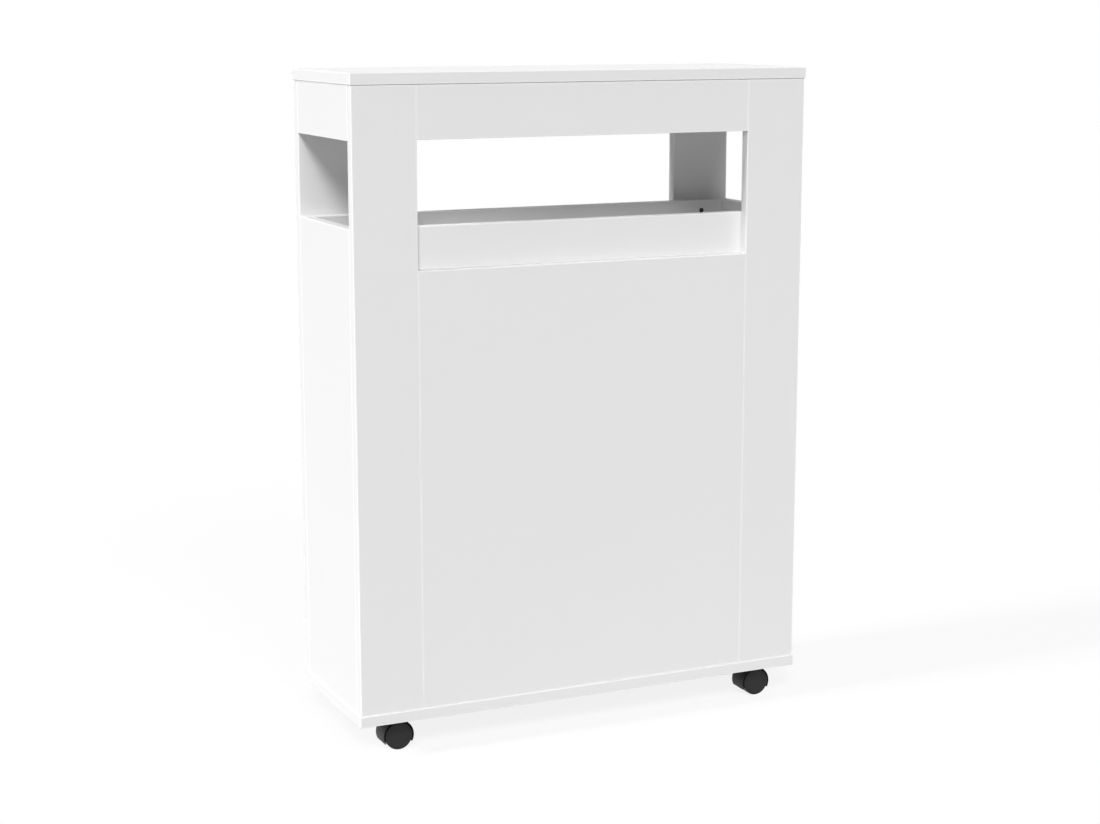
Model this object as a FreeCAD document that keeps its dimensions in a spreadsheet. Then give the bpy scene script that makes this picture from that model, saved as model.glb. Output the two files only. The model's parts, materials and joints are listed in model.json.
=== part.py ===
import FreeCAD, Part
import os
import re
import Sketcher

# Driving sizes of the cabinet in millimetres.
SIZES = {
    # Case: outer footprint, height over the floor, boards.
    "overall_length": 660.0,
    "overall_depth": 230.0,
    "overall_height": 900.0,
    "board_thickness": 15.0,
    "board_overhang": 1.5,
    "edge_bevel": 0.9,
    "stile_width": 87.5,
    "rail_height": 70.0,
    "window_height": 167.0,
    "strip_height": 56.0,
    # Cam fittings: disc in one board, bolt in the board it is pulled against.
    "cam_diameter": 15.0,
    "cam_depth": 12.0,
    "cam_reach": 34.0,
    "cam_clearance": 0.1,
    "cam_slot_width": 1.8,
    "cam_slot_length": 9.0,
    "cam_slot_depth": 1.6,
    "cam_socket_diameter": 7.4,
    "cam_socket_overrun": 1.0,
    "bolt_diameter": 6.2,
    "bolt_bore_diameter": 7.0,
    "bolt_thread_diameter": 5.0,
    "bolt_thread_length": 11.0,
    "thread_clearance": 0.05,
    "bore_end_clearance": 0.5,
    # Wood dowels.
    "dowel_diameter": 8.0,
    "dowel_length": 30.0,
    "dowel_face_depth": 11.0,
    "dowel_clearance": 0.1,
    # Countersunk screws that hold the strips to the stiles.
    "strip_screw_diameter": 3.5,
    "strip_screw_length": 25.0,
    "strip_screw_head_diameter": 7.0,
    "strip_screw_head_height": 2.2,
    "strip_screw_end_inset": 34.0,
    "strip_screw_edge_inset": 15.0,
    "screw_clearance": 0.1,
    "screw_recess_width": 1.0,
    "screw_recess_length": 3.8,
    "screw_recess_depth": 1.1,
    # Caster: height to the underside of the case, place of the swivel axis.
    "caster_height": 48.0,
    "caster_length_inset": 54.0,
    "caster_depth_inset": 45.5,
    "caster_trail": 10.4,
    # Caster plate and its screws.
    "plate_width": 42.0,
    "plate_thickness": 2.0,
    "plate_corner_radius": 6.0,
    "plate_screw_spacing": 32.0,
    "plate_screw_diameter": 3.5,
    "plate_screw_length": 13.0,
    "plate_screw_head_diameter": 7.0,
    "plate_screw_head_height": 1.8,
    # Swivel pin, thrust washer and the gap under the washer.
    "pin_diameter": 6.5,
    "pin_head_diameter": 11.0,
    "pin_length": 23.0,
    "pin_tip_bevel": 0.8,
    "pin_clearance": 0.05,
    "washer_diameter": 18.0,
    "washer_thickness": 1.2,
    "swivel_gap": 0.3,
    # Hood: web between the wheels, fender round them and boss for the swivel pin.
    "hood_width": 31.0,
    "web_thickness": 11.0,
    "fender_gap": 1.5,
    "fender_wall": 1.3,
    "hood_lower_edge": 9.5,
    "hood_rim_radius": 0.6,
    "boss_diameter": 19.0,
    # Axle and wheels.
    "axle_diameter": 5.0,
    "axle_clearance": 0.05,
    "axle_end_gap": 0.3,
    "wheel_diameter": 38.0,
    "wheel_side_gap": 0.5,
    "wheel_width": 10.7,
    "wheel_face_wall": 2.4,
    "wheel_hub_diameter": 11.0,
    "wheel_rim_wall": 3.2,
    "wheel_tread_bevel": 0.4,
    "wheel_shoulder": 1.5,
    "wheel_dome": 0.5,
}

# Places along a board, as shares of the length they are measured on.
MIDDLE_SHELF_SHARE = 0.5
PANEL_DOWEL_SHARES = (0.12, 0.5, 0.88)
FOOT_DOWEL_SHARES = (-0.38, 0.0, 0.38)
RAIL_DOWEL_SHARES = (0.25, 0.75)
STILE_DOWEL_SHARES = (0.2, 0.8)
RAIL_CAM_SHARES = (-0.3, 0.3)
SHELF_CAM_SHARES = (-0.3, 0.3)
FOOT_CAM_SHARES = (-0.25, 0.25)
END_CAM_SHARES = (0.2, 0.8)

AXIS_X = (1, 0, 0)
AXIS_Y = (0, 1, 0)
AXIS_Z = (0, 0, 1)
SIDES = {"left": -1, "right": 1}
FACES = {"front": -1, "rear": 1}

document = FreeCAD.newDocument("RollingCabinet")
sheet = document.addObject("Spreadsheet::Sheet", "Sizes")
for row, (name, value) in enumerate(SIZES.items(), start=1):
    sheet.set("A%d" % row, name)
    sheet.set("B%d" % row, str(value))
    sheet.setAlias("B%d" % row, name)
document.recompute()


def in_cells(text):
    """Point every size name of an expression at its cell."""
    return re.sub(r"[a-z][a-z_]+", lambda word: "Sizes." + word.group(0), str(text))


def bind(piece, **formulas):
    """Tie properties of an object to the sheet; a double underscore stands for a dot."""
    for path, formula in formulas.items():
        piece.setExpression(path.replace("__", "."), in_cells(formula))


def set_point(piece, point):
    """Tie the place of an object to three formulas."""
    bind(piece, Placement__Base__x=point[0], Placement__Base__y=point[1], Placement__Base__z=point[2])


def turn(piece, direction):
    """Turn the local Z axis of an object to a direction."""
    rotation = FreeCAD.Rotation(FreeCAD.Vector(*AXIS_Z), FreeCAD.Vector(*direction))
    piece.Placement = FreeCAD.Placement(FreeCAD.Vector(), rotation)


def along(point, direction, distance):
    """Formulas of a point moved by a distance in one of the axis directions."""
    return tuple(
        "%s + %d * (%s)" % (place, part, distance) if part else place
        for place, part in zip(point, direction)
    )


def reverse(direction):
    return tuple(-part for part in direction)


def on_side(sign, formula):
    return "%d * (%s)" % (sign, formula)


def cylinder(radius, height, point=None, direction=AXIS_Z):
    """Round bar from a point in a direction."""
    bar = document.addObject("Part::Cylinder", "Bar")
    bind(bar, Radius=radius, Height=height)
    turn(bar, direction)
    if point:
        set_point(bar, point)
    return bar


def cone(large_radius, small_radius, height, point=None, direction=AXIS_Z):
    """Cone that is wide at a point and narrows in a direction."""
    taper = document.addObject("Part::Cone", "Taper")
    bind(taper, Radius1=large_radius, Radius2=small_radius, Height=height)
    turn(taper, direction)
    if point:
        set_point(taper, point)
    return taper


def block(length, width, height, point):
    """Square-edged bar with its low corner at a point."""
    bar = document.addObject("Part::Box", "Block")
    bind(bar, Length=length, Width=width, Height=height)
    set_point(bar, point)
    return bar


def fused(pieces):
    if len(pieces) == 1:
        return pieces[0]
    joined = document.addObject("Part::MultiFuse", "Joined")
    joined.Shapes = pieces
    return joined


def cut(base, tools):
    cutting = document.addObject("Part::Cut", "Cutting")
    cutting.Base = base
    cutting.Tool = fused(tools)
    return cutting


# Levels over the floor and half sizes of the frame between the two boards.
HALF_LENGTH = "(overall_length / 2 - board_overhang)"
HALF_DEPTH = "(overall_depth / 2 - board_overhang)"
INNER_HALF_LENGTH = "(overall_length / 2 - board_overhang - board_thickness)"
INNER_HALF_DEPTH = "(overall_depth / 2 - board_overhang - board_thickness)"
HALF_FIELD = "(overall_length / 2 - board_overhang - stile_width)"
HALF_BOARD = "(board_thickness / 2)"
FRAME_FOOT = "(caster_height + board_thickness)"
FRAME_TOP = "(overall_height - board_thickness)"
RAIL_FOOT = "(overall_height - board_thickness - rail_height)"
TRAY_LEVEL = "(overall_height - board_thickness - rail_height - window_height)"
TRAY_UNDERSIDE = "(%s - board_thickness)" % TRAY_LEVEL
RIM_LEVEL = "(%s + strip_height)" % TRAY_LEVEL
FRAME_HEIGHT = "(%s - %s)" % (FRAME_TOP, FRAME_FOOT)
PANEL_HEIGHT = "(%s - %s)" % (TRAY_LEVEL, FRAME_FOOT)
END_HEIGHT = "(%s - %s)" % (RIM_LEVEL, FRAME_FOOT)
SHELF_ROOM = "(%s - board_thickness - %s)" % (TRAY_UNDERSIDE, FRAME_FOOT)
SHELF_FOOT = "(%s + %s * %s)" % (FRAME_FOOT, MIDDLE_SHELF_SHARE, SHELF_ROOM)
SHELF_LEVEL = "(%s + board_thickness)" % SHELF_FOOT

nodes = {}
boards = {}
bores = {}


def board(label, size, corner):
    """Board with bevelled edges, its low corner at a point."""
    body = document.addObject("PartDesign::Body", "Board")
    core = body.newObject("PartDesign::AdditiveBox", "Core")
    bind(core, Length=size[0], Width=size[1], Height=size[2])
    document.recompute()
    bevel = body.newObject("PartDesign::Chamfer", "Bevel")
    bevel.Base = (core, ["Edge%d" % number for number in range(1, len(core.Shape.Edges) + 1)])
    bind(bevel, Size="edge_bevel")
    body.Tip = bevel
    set_point(body, corner)
    boards[label] = body
    bores[label] = []


def low_side(sign, outer, thickness):
    """Low face of a board whose outer face lies on one side of the middle."""
    return "-" + outer if sign < 0 else "%s - %s" % (outer, thickness)


FULL_SIZE = ("overall_length", "overall_depth", "board_thickness")
board("top_board", FULL_SIZE, ("-overall_length / 2", "-overall_depth / 2", FRAME_TOP))
board("bottom_board", FULL_SIZE, ("-overall_length / 2", "-overall_depth / 2", "caster_height"))

for face, face_sign in FACES.items():
    face_low = low_side(face_sign, HALF_DEPTH, "board_thickness")
    for side, side_sign in SIDES.items():
        stile_size = ("stile_width", "board_thickness", FRAME_HEIGHT)
        stile_low = low_side(side_sign, HALF_LENGTH, "stile_width")
        board("%s_%s_stile" % (face, side), stile_size, (stile_low, face_low, FRAME_FOOT))
    rail_size = ("2 * " + HALF_FIELD, "board_thickness", "rail_height")
    board(face + "_top_rail", rail_size, ("-" + HALF_FIELD, face_low, RAIL_FOOT))

front_low = low_side(FACES["front"], HALF_DEPTH, "board_thickness")
panel_size = ("2 * " + HALF_FIELD, "board_thickness", PANEL_HEIGHT)
board("front_panel", panel_size, ("-" + HALF_FIELD, front_low, FRAME_FOOT))

for side, side_sign in SIDES.items():
    end_low = low_side(side_sign, HALF_LENGTH, "board_thickness")
    end_size = ("board_thickness", "2 * " + INNER_HALF_DEPTH, END_HEIGHT)
    board(side + "_end_panel", end_size, (end_low, "-" + INNER_HALF_DEPTH, FRAME_FOOT))
    end_rail_size = ("board_thickness", "2 * " + INNER_HALF_DEPTH, "rail_height")
    board(side + "_end_rail", end_rail_size, (end_low, "-" + INNER_HALF_DEPTH, RAIL_FOOT))

shelf_size = ("2 * " + INNER_HALF_LENGTH, "2 * " + INNER_HALF_DEPTH, "board_thickness")
board("tray_floor", shelf_size, ("-" + INNER_HALF_LENGTH, "-" + INNER_HALF_DEPTH, TRAY_UNDERSIDE))
board("middle_shelf", shelf_size, ("-" + INNER_HALF_LENGTH, "-" + INNER_HALF_DEPTH, SHELF_FOOT))

# Every strip: long side it stands on and the level of its foot.
STRIPS = {
    "front_tray_strip": ("front", TRAY_LEVEL),
    "rear_tray_strip": ("rear", TRAY_LEVEL),
    "middle_shelf_lip": ("rear", SHELF_LEVEL),
    "bottom_shelf_lip": ("rear", FRAME_FOOT),
}
strip_size = ("2 * " + INNER_HALF_LENGTH, "board_thickness", "strip_height")
for label, (face, foot) in STRIPS.items():
    strip_low = low_side(FACES[face], INNER_HALF_DEPTH, "board_thickness")
    board(label, strip_size, ("-" + INNER_HALF_LENGTH, strip_low, foot))

document.recompute()


def copies(label):
    """Empty group for the copies of one fastener."""
    group = document.addObject("Part::Compound", label)
    group.Label = label
    nodes[label] = group
    return group, []


def copy_of(pattern, point, rotation):
    """Copy of a fastener, turned and set at a point."""
    twin = document.addObject("App::Link", "Copy")
    twin.LinkedObject = pattern
    twin.Placement = FreeCAD.Placement(FreeCAD.Vector(), rotation)
    set_point(twin, point)
    return twin


def facing(direction):
    return FreeCAD.Rotation(FreeCAD.Vector(*AXIS_Z), FreeCAD.Vector(*direction))


# Cam disc: face at the origin looking up, cross slot in it, side socket for the bolt along local X.
cam_body = cylinder("cam_diameter / 2", "cam_depth", direction=reverse(AXIS_Z))
cam_slots = [
    block(
        "cam_slot_length",
        "cam_slot_width",
        "cam_slot_depth",
        ("-cam_slot_length / 2", "-cam_slot_width / 2", "-cam_slot_depth"),
    ),
    block(
        "cam_slot_width",
        "cam_slot_length",
        "cam_slot_depth",
        ("-cam_slot_width / 2", "-cam_slot_length / 2", "-cam_slot_depth"),
    ),
]
cam_socket = cylinder(
    "cam_socket_diameter / 2",
    "cam_diameter / 2 + cam_socket_overrun",
    ("-cam_socket_overrun", "0", "-board_thickness / 2"),
    AXIS_X,
)
cam_pattern = cut(cam_body, cam_slots + [cam_socket])

# Cam bolt: thread from the origin upwards, plain shank the other way to the middle of the disc.
bolt_thread = cylinder("bolt_thread_diameter / 2", "bolt_thread_length")
bolt_shank = cylinder("bolt_diameter / 2", "cam_reach", direction=reverse(AXIS_Z))
bolt_pattern = fused([bolt_thread, bolt_shank])

# Dowel from the origin upwards.
dowel_pattern = cylinder("dowel_diameter / 2", "dowel_length")

cam_group, cam_copies = copies("cam_discs")
bolt_group, bolt_copies = copies("cam_bolts")
dowel_group, dowel_copies = copies("dowels")


def cam_joint(cam_board, bolt_board, point, towards, face):
    """Pull one board against another: disc in the face of the first, bolt thread in the second."""
    centre = along(point, reverse(towards), "cam_reach")
    disc_point = along(centre, face, HALF_BOARD)
    disc_bore = cylinder("cam_diameter / 2 + cam_clearance", "cam_depth", disc_point, reverse(face))
    shank_bore = cylinder("bolt_bore_diameter / 2", "cam_reach", point, reverse(towards))
    thread_bore = cylinder(
        "bolt_thread_diameter / 2 + thread_clearance",
        "bolt_thread_length + bore_end_clearance",
        point,
        towards,
    )
    bores[cam_board] += [disc_bore, shank_bore]
    bores[bolt_board].append(thread_bore)
    disc_turn = FreeCAD.Rotation(
        FreeCAD.Vector(*towards), FreeCAD.Vector(), FreeCAD.Vector(*face), "ZXY"
    )
    cam_copies.append(copy_of(cam_pattern, disc_point, disc_turn))
    bolt_copies.append(copy_of(bolt_pattern, point, facing(towards)))


def dowel_joint(edge_board, far_board, point, towards, far_depth):
    """Pin one board to another with a dowel across the joint."""
    near_depth = "dowel_length - %s" % far_depth
    radius = "dowel_diameter / 2 + dowel_clearance"
    near_bore = cylinder(radius, near_depth + " + bore_end_clearance", point, reverse(towards))
    far_bore = cylinder(radius, far_depth + " + bore_end_clearance", point, towards)
    bores[edge_board].append(near_bore)
    bores[far_board].append(far_bore)
    start = along(point, reverse(towards), near_depth)
    dowel_copies.append(copy_of(dowel_pattern, start, facing(towards)))


HALF_DOWEL = "dowel_length / 2"
END_MIDDLE = "(%s - board_thickness / 2)" % HALF_LENGTH
FACE_MIDDLE = "(%s - board_thickness / 2)" % HALF_DEPTH
TRAY_MIDDLE = "(%s - board_thickness / 2)" % TRAY_LEVEL
SHELF_MIDDLE = "(%s - board_thickness / 2)" % SHELF_LEVEL

for side, side_sign in SIDES.items():
    outward = (side_sign, 0, 0)
    inward = reverse(outward)
    end_panel = side + "_end_panel"
    end_rail = side + "_end_rail"
    end_place = on_side(side_sign, END_MIDDLE)
    for face, face_sign in FACES.items():
        across = (0, face_sign, 0)
        stile = "%s_%s_stile" % (face, side)
        stile_back = on_side(face_sign, INNER_HALF_DEPTH)
        # End panel and end rail to the stile.
        for share in END_CAM_SHARES:
            level = "%s + %s * %s" % (FRAME_FOOT, share, END_HEIGHT)
            cam_joint(end_panel, stile, (end_place, stile_back, level), across, inward)
        rail_level = RAIL_FOOT + " + rail_height / 2"
        cam_joint(end_rail, stile, (end_place, stile_back, rail_level), across, inward)
        # Stile to the bottom and top boards.
        face_place = on_side(face_sign, FACE_MIDDLE)
        for share in STILE_DOWEL_SHARES:
            place = on_side(side_sign, "%s + %s * stile_width" % (HALF_FIELD, share))
            foot_point = (place, face_place, FRAME_FOOT)
            head_point = (place, face_place, FRAME_TOP)
            dowel_joint(stile, "bottom_board", foot_point, reverse(AXIS_Z), "dowel_face_depth")
            dowel_joint(stile, "top_board", head_point, AXIS_Z, "dowel_face_depth")
        # Long rail to the stile.
        for share in RAIL_DOWEL_SHARES:
            level = "%s + %s * rail_height" % (RAIL_FOOT, share)
            seam_point = (on_side(side_sign, HALF_FIELD), face_place, level)
            dowel_joint(face + "_top_rail", stile, seam_point, outward, HALF_DOWEL)
    # Front panel to the stile.
    front_place = on_side(FACES["front"], FACE_MIDDLE)
    for share in PANEL_DOWEL_SHARES:
        level = "%s + %s * %s" % (FRAME_FOOT, share, PANEL_HEIGHT)
        seam_point = (on_side(side_sign, HALF_FIELD), front_place, level)
        dowel_joint("front_panel", "front_%s_stile" % side, seam_point, outward, HALF_DOWEL)
    # End panel to the bottom board, end rail to the top board.
    for share in FOOT_CAM_SHARES:
        place = "%s * 2 * %s" % (share, INNER_HALF_DEPTH)
        cam_joint(end_panel, "bottom_board", (end_place, place, FRAME_FOOT), reverse(AXIS_Z), inward)
    cam_joint(end_rail, "top_board", (end_place, "0", FRAME_TOP), AXIS_Z, inward)
    # Shelves to the end panel, discs in their undersides.
    for share in SHELF_CAM_SHARES:
        place = "%s * 2 * %s" % (share, INNER_HALF_DEPTH)
        shelf_end = on_side(side_sign, INNER_HALF_LENGTH)
        tray_point = (shelf_end, place, TRAY_MIDDLE)
        shelf_point = (shelf_end, place, SHELF_MIDDLE)
        cam_joint("tray_floor", end_panel, tray_point, outward, reverse(AXIS_Z))
        cam_joint("middle_shelf", end_panel, shelf_point, outward, reverse(AXIS_Z))

# Shelves to the front panel, long rails to the top board, front panel to the bottom board.
to_front = (0, FACES["front"], 0)
panel_back = on_side(FACES["front"], INNER_HALF_DEPTH)
for share in SHELF_CAM_SHARES:
    place = "%s * 2 * %s" % (share, HALF_FIELD)
    cam_joint("tray_floor", "front_panel", (place, panel_back, TRAY_MIDDLE), to_front, reverse(AXIS_Z))
    cam_joint("middle_shelf", "front_panel", (place, panel_back, SHELF_MIDDLE), to_front, reverse(AXIS_Z))
for face, face_sign in FACES.items():
    rail_place = on_side(face_sign, FACE_MIDDLE)
    for share in RAIL_CAM_SHARES:
        place = "%s * 2 * %s" % (share, HALF_FIELD)
        rail_point = (place, rail_place, FRAME_TOP)
        cam_joint(face + "_top_rail", "top_board", rail_point, AXIS_Z, (0, -face_sign, 0))
for share in FOOT_DOWEL_SHARES:
    place = "%s * 2 * %s" % (share, HALF_FIELD)
    foot_point = (place, on_side(FACES["front"], FACE_MIDDLE), FRAME_FOOT)
    dowel_joint("front_panel", "bottom_board", foot_point, reverse(AXIS_Z), "dowel_face_depth")


def cross_recess(level):
    """Two crossed slots that open upwards at a level."""
    low = "%s - screw_recess_depth" % level
    return [
        block(
            "screw_recess_length",
            "screw_recess_width",
            "screw_recess_depth",
            ("-screw_recess_length / 2", "-screw_recess_width / 2", low),
        ),
        block(
            "screw_recess_width",
            "screw_recess_length",
            "screw_recess_depth",
            ("-screw_recess_width / 2", "-screw_recess_length / 2", low),
        ),
    ]


# Countersunk screw: flat head face at the origin looking up.
strip_screw_shank = cylinder("strip_screw_diameter / 2", "strip_screw_length", direction=reverse(AXIS_Z))
strip_screw_head = cone(
    "strip_screw_head_diameter / 2",
    "strip_screw_diameter / 2",
    "strip_screw_head_height",
    direction=reverse(AXIS_Z),
)
strip_screw_solid = fused([strip_screw_shank, strip_screw_head])
strip_screw_pattern = cut(strip_screw_solid, cross_recess("0"))
strip_screw_group, strip_screw_copies = copies("strip_screws")

for label, (face, foot) in STRIPS.items():
    face_sign = FACES[face]
    into_stile = (0, face_sign, 0)
    head_face = on_side(face_sign, INNER_HALF_DEPTH + " - board_thickness")
    for side, side_sign in SIDES.items():
        place = on_side(side_sign, INNER_HALF_LENGTH + " - strip_screw_end_inset")
        for level in ("strip_screw_edge_inset", "strip_height - strip_screw_edge_inset"):
            head_point = (place, head_face, "%s + %s" % (foot, level))
            seat_point = along(head_point, into_stile, "board_thickness")
            head_bore = cone(
                "strip_screw_head_diameter / 2 + screw_clearance",
                "strip_screw_diameter / 2 + screw_clearance",
                "strip_screw_head_height",
                head_point,
                into_stile,
            )
            radius = "strip_screw_diameter / 2 + screw_clearance"
            strip_bore = cylinder(radius, "board_thickness", head_point, into_stile)
            stile_depth = "strip_screw_length - board_thickness + bore_end_clearance"
            stile_bore = cylinder(radius, stile_depth, seat_point, into_stile)
            bores[label] += [head_bore, strip_bore]
            bores["%s_%s_stile" % (face, side)].append(stile_bore)
            turned = facing(reverse(into_stile))
            strip_screw_copies.append(copy_of(strip_screw_pattern, head_point, turned))


# Levels and half widths in a caster, from the floor and from its middle plane.
WHEEL_RADIUS = "(wheel_diameter / 2)"
FENDER_INNER = "(wheel_diameter / 2 + fender_gap)"
FENDER_OUTER = "(wheel_diameter / 2 + fender_gap + fender_wall)"
PLATE_FOOT = "(caster_height - plate_thickness)"
BOSS_TOP = "(caster_height - plate_thickness - washer_thickness - swivel_gap)"
WHEEL_INNER_FACE = "(web_thickness / 2 + wheel_side_gap)"
WHEEL_OUTER_FACE = "(web_thickness / 2 + wheel_side_gap + wheel_width)"
AXLE_HALF = "(%s - wheel_face_wall - axle_end_gap)" % WHEEL_OUTER_FACE
HALF_SPACING = "(plate_screw_spacing / 2)"


def sketch_on(body, role, name):
    """Sketch on one of the origin planes of a body."""
    sketch = body.newObject("Sketcher::SketchObject", name)
    plane = next(item for item in body.Origin.OriginFeatures if item.Role == role)
    sketch.AttachmentSupport = [(plane, "")]
    sketch.MapMode = "FlatFace"
    return sketch


probe = document.addObject("Part::Vertex", "Probe")


def read(formula):
    """Value of a formula, read from the place of a probe point."""
    bind(probe, X=formula)
    probe.recompute()
    return probe.X.Value


def outline(sketch, points):
    """Closed outline through points, each tied to two formulas; a zero lies on the axis."""
    spots = [FreeCAD.Vector(read(across), read(up), 0) for across, up in points]
    count = len(points)
    for number in range(count):
        line = Part.LineSegment(spots[number], spots[(number + 1) % count])
        sketch.addGeometry(line, False)
    for number in range(count):
        follower = (number + 1) % count
        sketch.addConstraint(Sketcher.Constraint("Coincident", number, 2, follower, 1))
    for number, (across, up) in enumerate(points):
        for kind, axis, formula, value in (
            ("DistanceX", -2, across, spots[number].x),
            ("DistanceY", -1, up, spots[number].y),
        ):
            if formula == "0":
                sketch.addConstraint(Sketcher.Constraint("PointOnObject", number, 1, axis))
                continue
            index = sketch.addConstraint(Sketcher.Constraint(kind, -1, 1, number, 1, value))
            sketch.renameConstraint(index, "%s_%d" % (kind.lower(), number))
            sketch.setExpression("Constraints.%s_%d" % (kind.lower(), number), in_cells(formula))


def turned_body(label, points):
    """Solid of revolution about the local Y axis; points give radius and distance along it."""
    body = document.addObject("PartDesign::Body", label)
    profile = sketch_on(body, "XY_Plane", "Profile")
    outline(profile, points)
    document.recompute()
    round_solid = body.newObject("PartDesign::Revolution", "Round")
    round_solid.Profile = profile
    round_solid.ReferenceAxis = (profile, ["V_Axis"])
    round_solid.Angle = 360.0
    body.Tip = round_solid
    return body


def body_bar(body, kind, radius, height, point, direction):
    """Round bar added to or taken from a body."""
    bar = body.newObject("PartDesign::" + kind, "Bar")
    turn(bar, direction)
    bind(bar, Radius=radius, Height=height)
    set_point(bar, point)
    body.Tip = bar
    return bar


def plate_body(label):
    """Square plate with round corners, four screw holes and a countersunk hole for the pin."""
    body = document.addObject("PartDesign::Body", label)
    slab = body.newObject("PartDesign::AdditiveBox", "Slab")
    bind(slab, Length="plate_width", Width="plate_width", Height="plate_thickness")
    set_point(slab, ("-plate_width / 2", "-plate_width / 2", PLATE_FOOT))
    document.recompute()
    upright = [
        "Edge%d" % number
        for number, edge in enumerate(slab.Shape.Edges, start=1)
        if abs(edge.tangentAt(edge.FirstParameter).z) > abs(edge.tangentAt(edge.FirstParameter).x)
        and abs(edge.tangentAt(edge.FirstParameter).z) > abs(edge.tangentAt(edge.FirstParameter).y)
    ]
    corners = body.newObject("PartDesign::Fillet", "Corners")
    corners.Base = (slab, upright)
    bind(corners, Radius="plate_corner_radius")
    body.Tip = corners
    hole_radius = "plate_screw_diameter / 2 + screw_clearance"
    for side_sign in SIDES.values():
        for face_sign in FACES.values():
            hole_point = (on_side(side_sign, HALF_SPACING), on_side(face_sign, HALF_SPACING), PLATE_FOOT)
            body_bar(body, "SubtractiveCylinder", hole_radius, "plate_thickness", hole_point, AXIS_Z)
    seat = body.newObject("PartDesign::SubtractiveCone", "Seat")
    bind(seat, Radius1="pin_diameter / 2", Radius2="pin_head_diameter / 2", Height="plate_thickness")
    set_point(seat, ("0", "0", PLATE_FOOT))
    body.Tip = seat
    return body


def hood_body(label):
    """Moulded hood: fender round both wheels, web between them, boss for the swivel pin."""
    body = document.addObject("PartDesign::Body", label)
    profile = sketch_on(body, "XZ_Plane", "Profile")
    trail = read("caster_trail")
    axle_level = read(WHEEL_RADIUS)
    outer = read(FENDER_OUTER)
    lower = read("hood_lower_edge")
    drop = axle_level - lower
    reach = (outer * outer - drop * drop) ** 0.5
    right_foot = FreeCAD.Vector(trail + reach, lower, 0)
    crest = FreeCAD.Vector(trail, axle_level + outer, 0)
    left_foot = FreeCAD.Vector(trail - reach, lower, 0)
    profile.addGeometry(Part.Arc(right_foot, crest, left_foot), False)
    profile.addGeometry(Part.LineSegment(left_foot, right_foot), False)
    profile.addConstraint(Sketcher.Constraint("Coincident", 0, 2, 1, 1))
    profile.addConstraint(Sketcher.Constraint("Coincident", 1, 2, 0, 1))
    profile.addConstraint(Sketcher.Constraint("Horizontal", 1))
    driven = (
        ("fender", Sketcher.Constraint("Radius", 0, outer), FENDER_OUTER),
        ("trail", Sketcher.Constraint("DistanceX", -1, 1, 0, 3, trail), "caster_trail"),
        ("axle", Sketcher.Constraint("DistanceY", -1, 1, 0, 3, axle_level), WHEEL_RADIUS),
        ("lower", Sketcher.Constraint("DistanceY", -1, 1, 1, 1, lower), "hood_lower_edge"),
    )
    for name, constraint, formula in driven:
        index = profile.addConstraint(constraint)
        profile.renameConstraint(index, name)
        profile.setExpression("Constraints." + name, in_cells(formula))
    document.recompute()
    shell = body.newObject("PartDesign::Pad", "Shell")
    shell.Profile = profile
    shell.Midplane = True
    bind(shell, Length="hood_width")
    document.recompute()
    boss_height = "%s - %s" % (BOSS_TOP, WHEEL_RADIUS)
    body_bar(body, "AdditiveCylinder", "boss_diameter / 2", boss_height, ("0", "0", WHEEL_RADIUS), AXIS_Z)
    document.recompute()
    well_start = ("caster_trail", "-hood_width / 2", WHEEL_RADIUS)
    body_bar(body, "SubtractiveCylinder", FENDER_INNER, "hood_width", well_start, AXIS_Y)
    document.recompute()
    web = body.newObject("PartDesign::Pad", "Web")
    web.Profile = profile
    web.Midplane = True
    bind(web, Length="web_thickness")
    body.Tip = web
    document.recompute()
    half_width = read("hood_width") / 2
    rim_edges = []
    for number, edge in enumerate(body.Shape.Edges, start=1):
        middle = edge.valueAt((edge.FirstParameter + edge.LastParameter) / 2)
        ends = [vertex.Point for vertex in edge.Vertexes]
        on_rim = all(abs(abs(point.y) - half_width) < half_width / 1000 for point in ends + [middle])
        from_axle = ((middle.x - trail) ** 2 + (middle.z - axle_level) ** 2) ** 0.5
        over_edge = middle.z > lower * 1.001
        if on_rim and over_edge and from_axle > read(FENDER_INNER) * 1.01:
            rim_edges.append("Edge%d" % number)
    rim = body.newObject("PartDesign::Fillet", "Rim")
    rim.Base = (web, rim_edges)
    bind(rim, Radius="hood_rim_radius")
    body.Tip = rim
    document.recompute()
    pin_bore_depth = "pin_length - plate_thickness - washer_thickness - swivel_gap + bore_end_clearance"
    pin_radius = "pin_diameter / 2 + pin_clearance"
    body_bar(
        body, "SubtractiveCylinder", pin_radius, pin_bore_depth, ("0", "0", BOSS_TOP), reverse(AXIS_Z)
    )
    axle_start = ("caster_trail", "-web_thickness / 2", WHEEL_RADIUS)
    body_bar(body, "SubtractiveCylinder", "axle_diameter / 2", "web_thickness", axle_start, AXIS_Y)
    return body


# Swivel pin with a countersunk head: radius and depth under the top of the plate.
PIN_POINTS = (
    ("0", "0"),
    ("pin_head_diameter / 2", "0"),
    ("pin_diameter / 2", "plate_thickness"),
    ("pin_diameter / 2", "pin_length - pin_tip_bevel"),
    ("pin_diameter / 2 - pin_tip_bevel", "pin_length"),
    ("0", "pin_length"),
)

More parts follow.
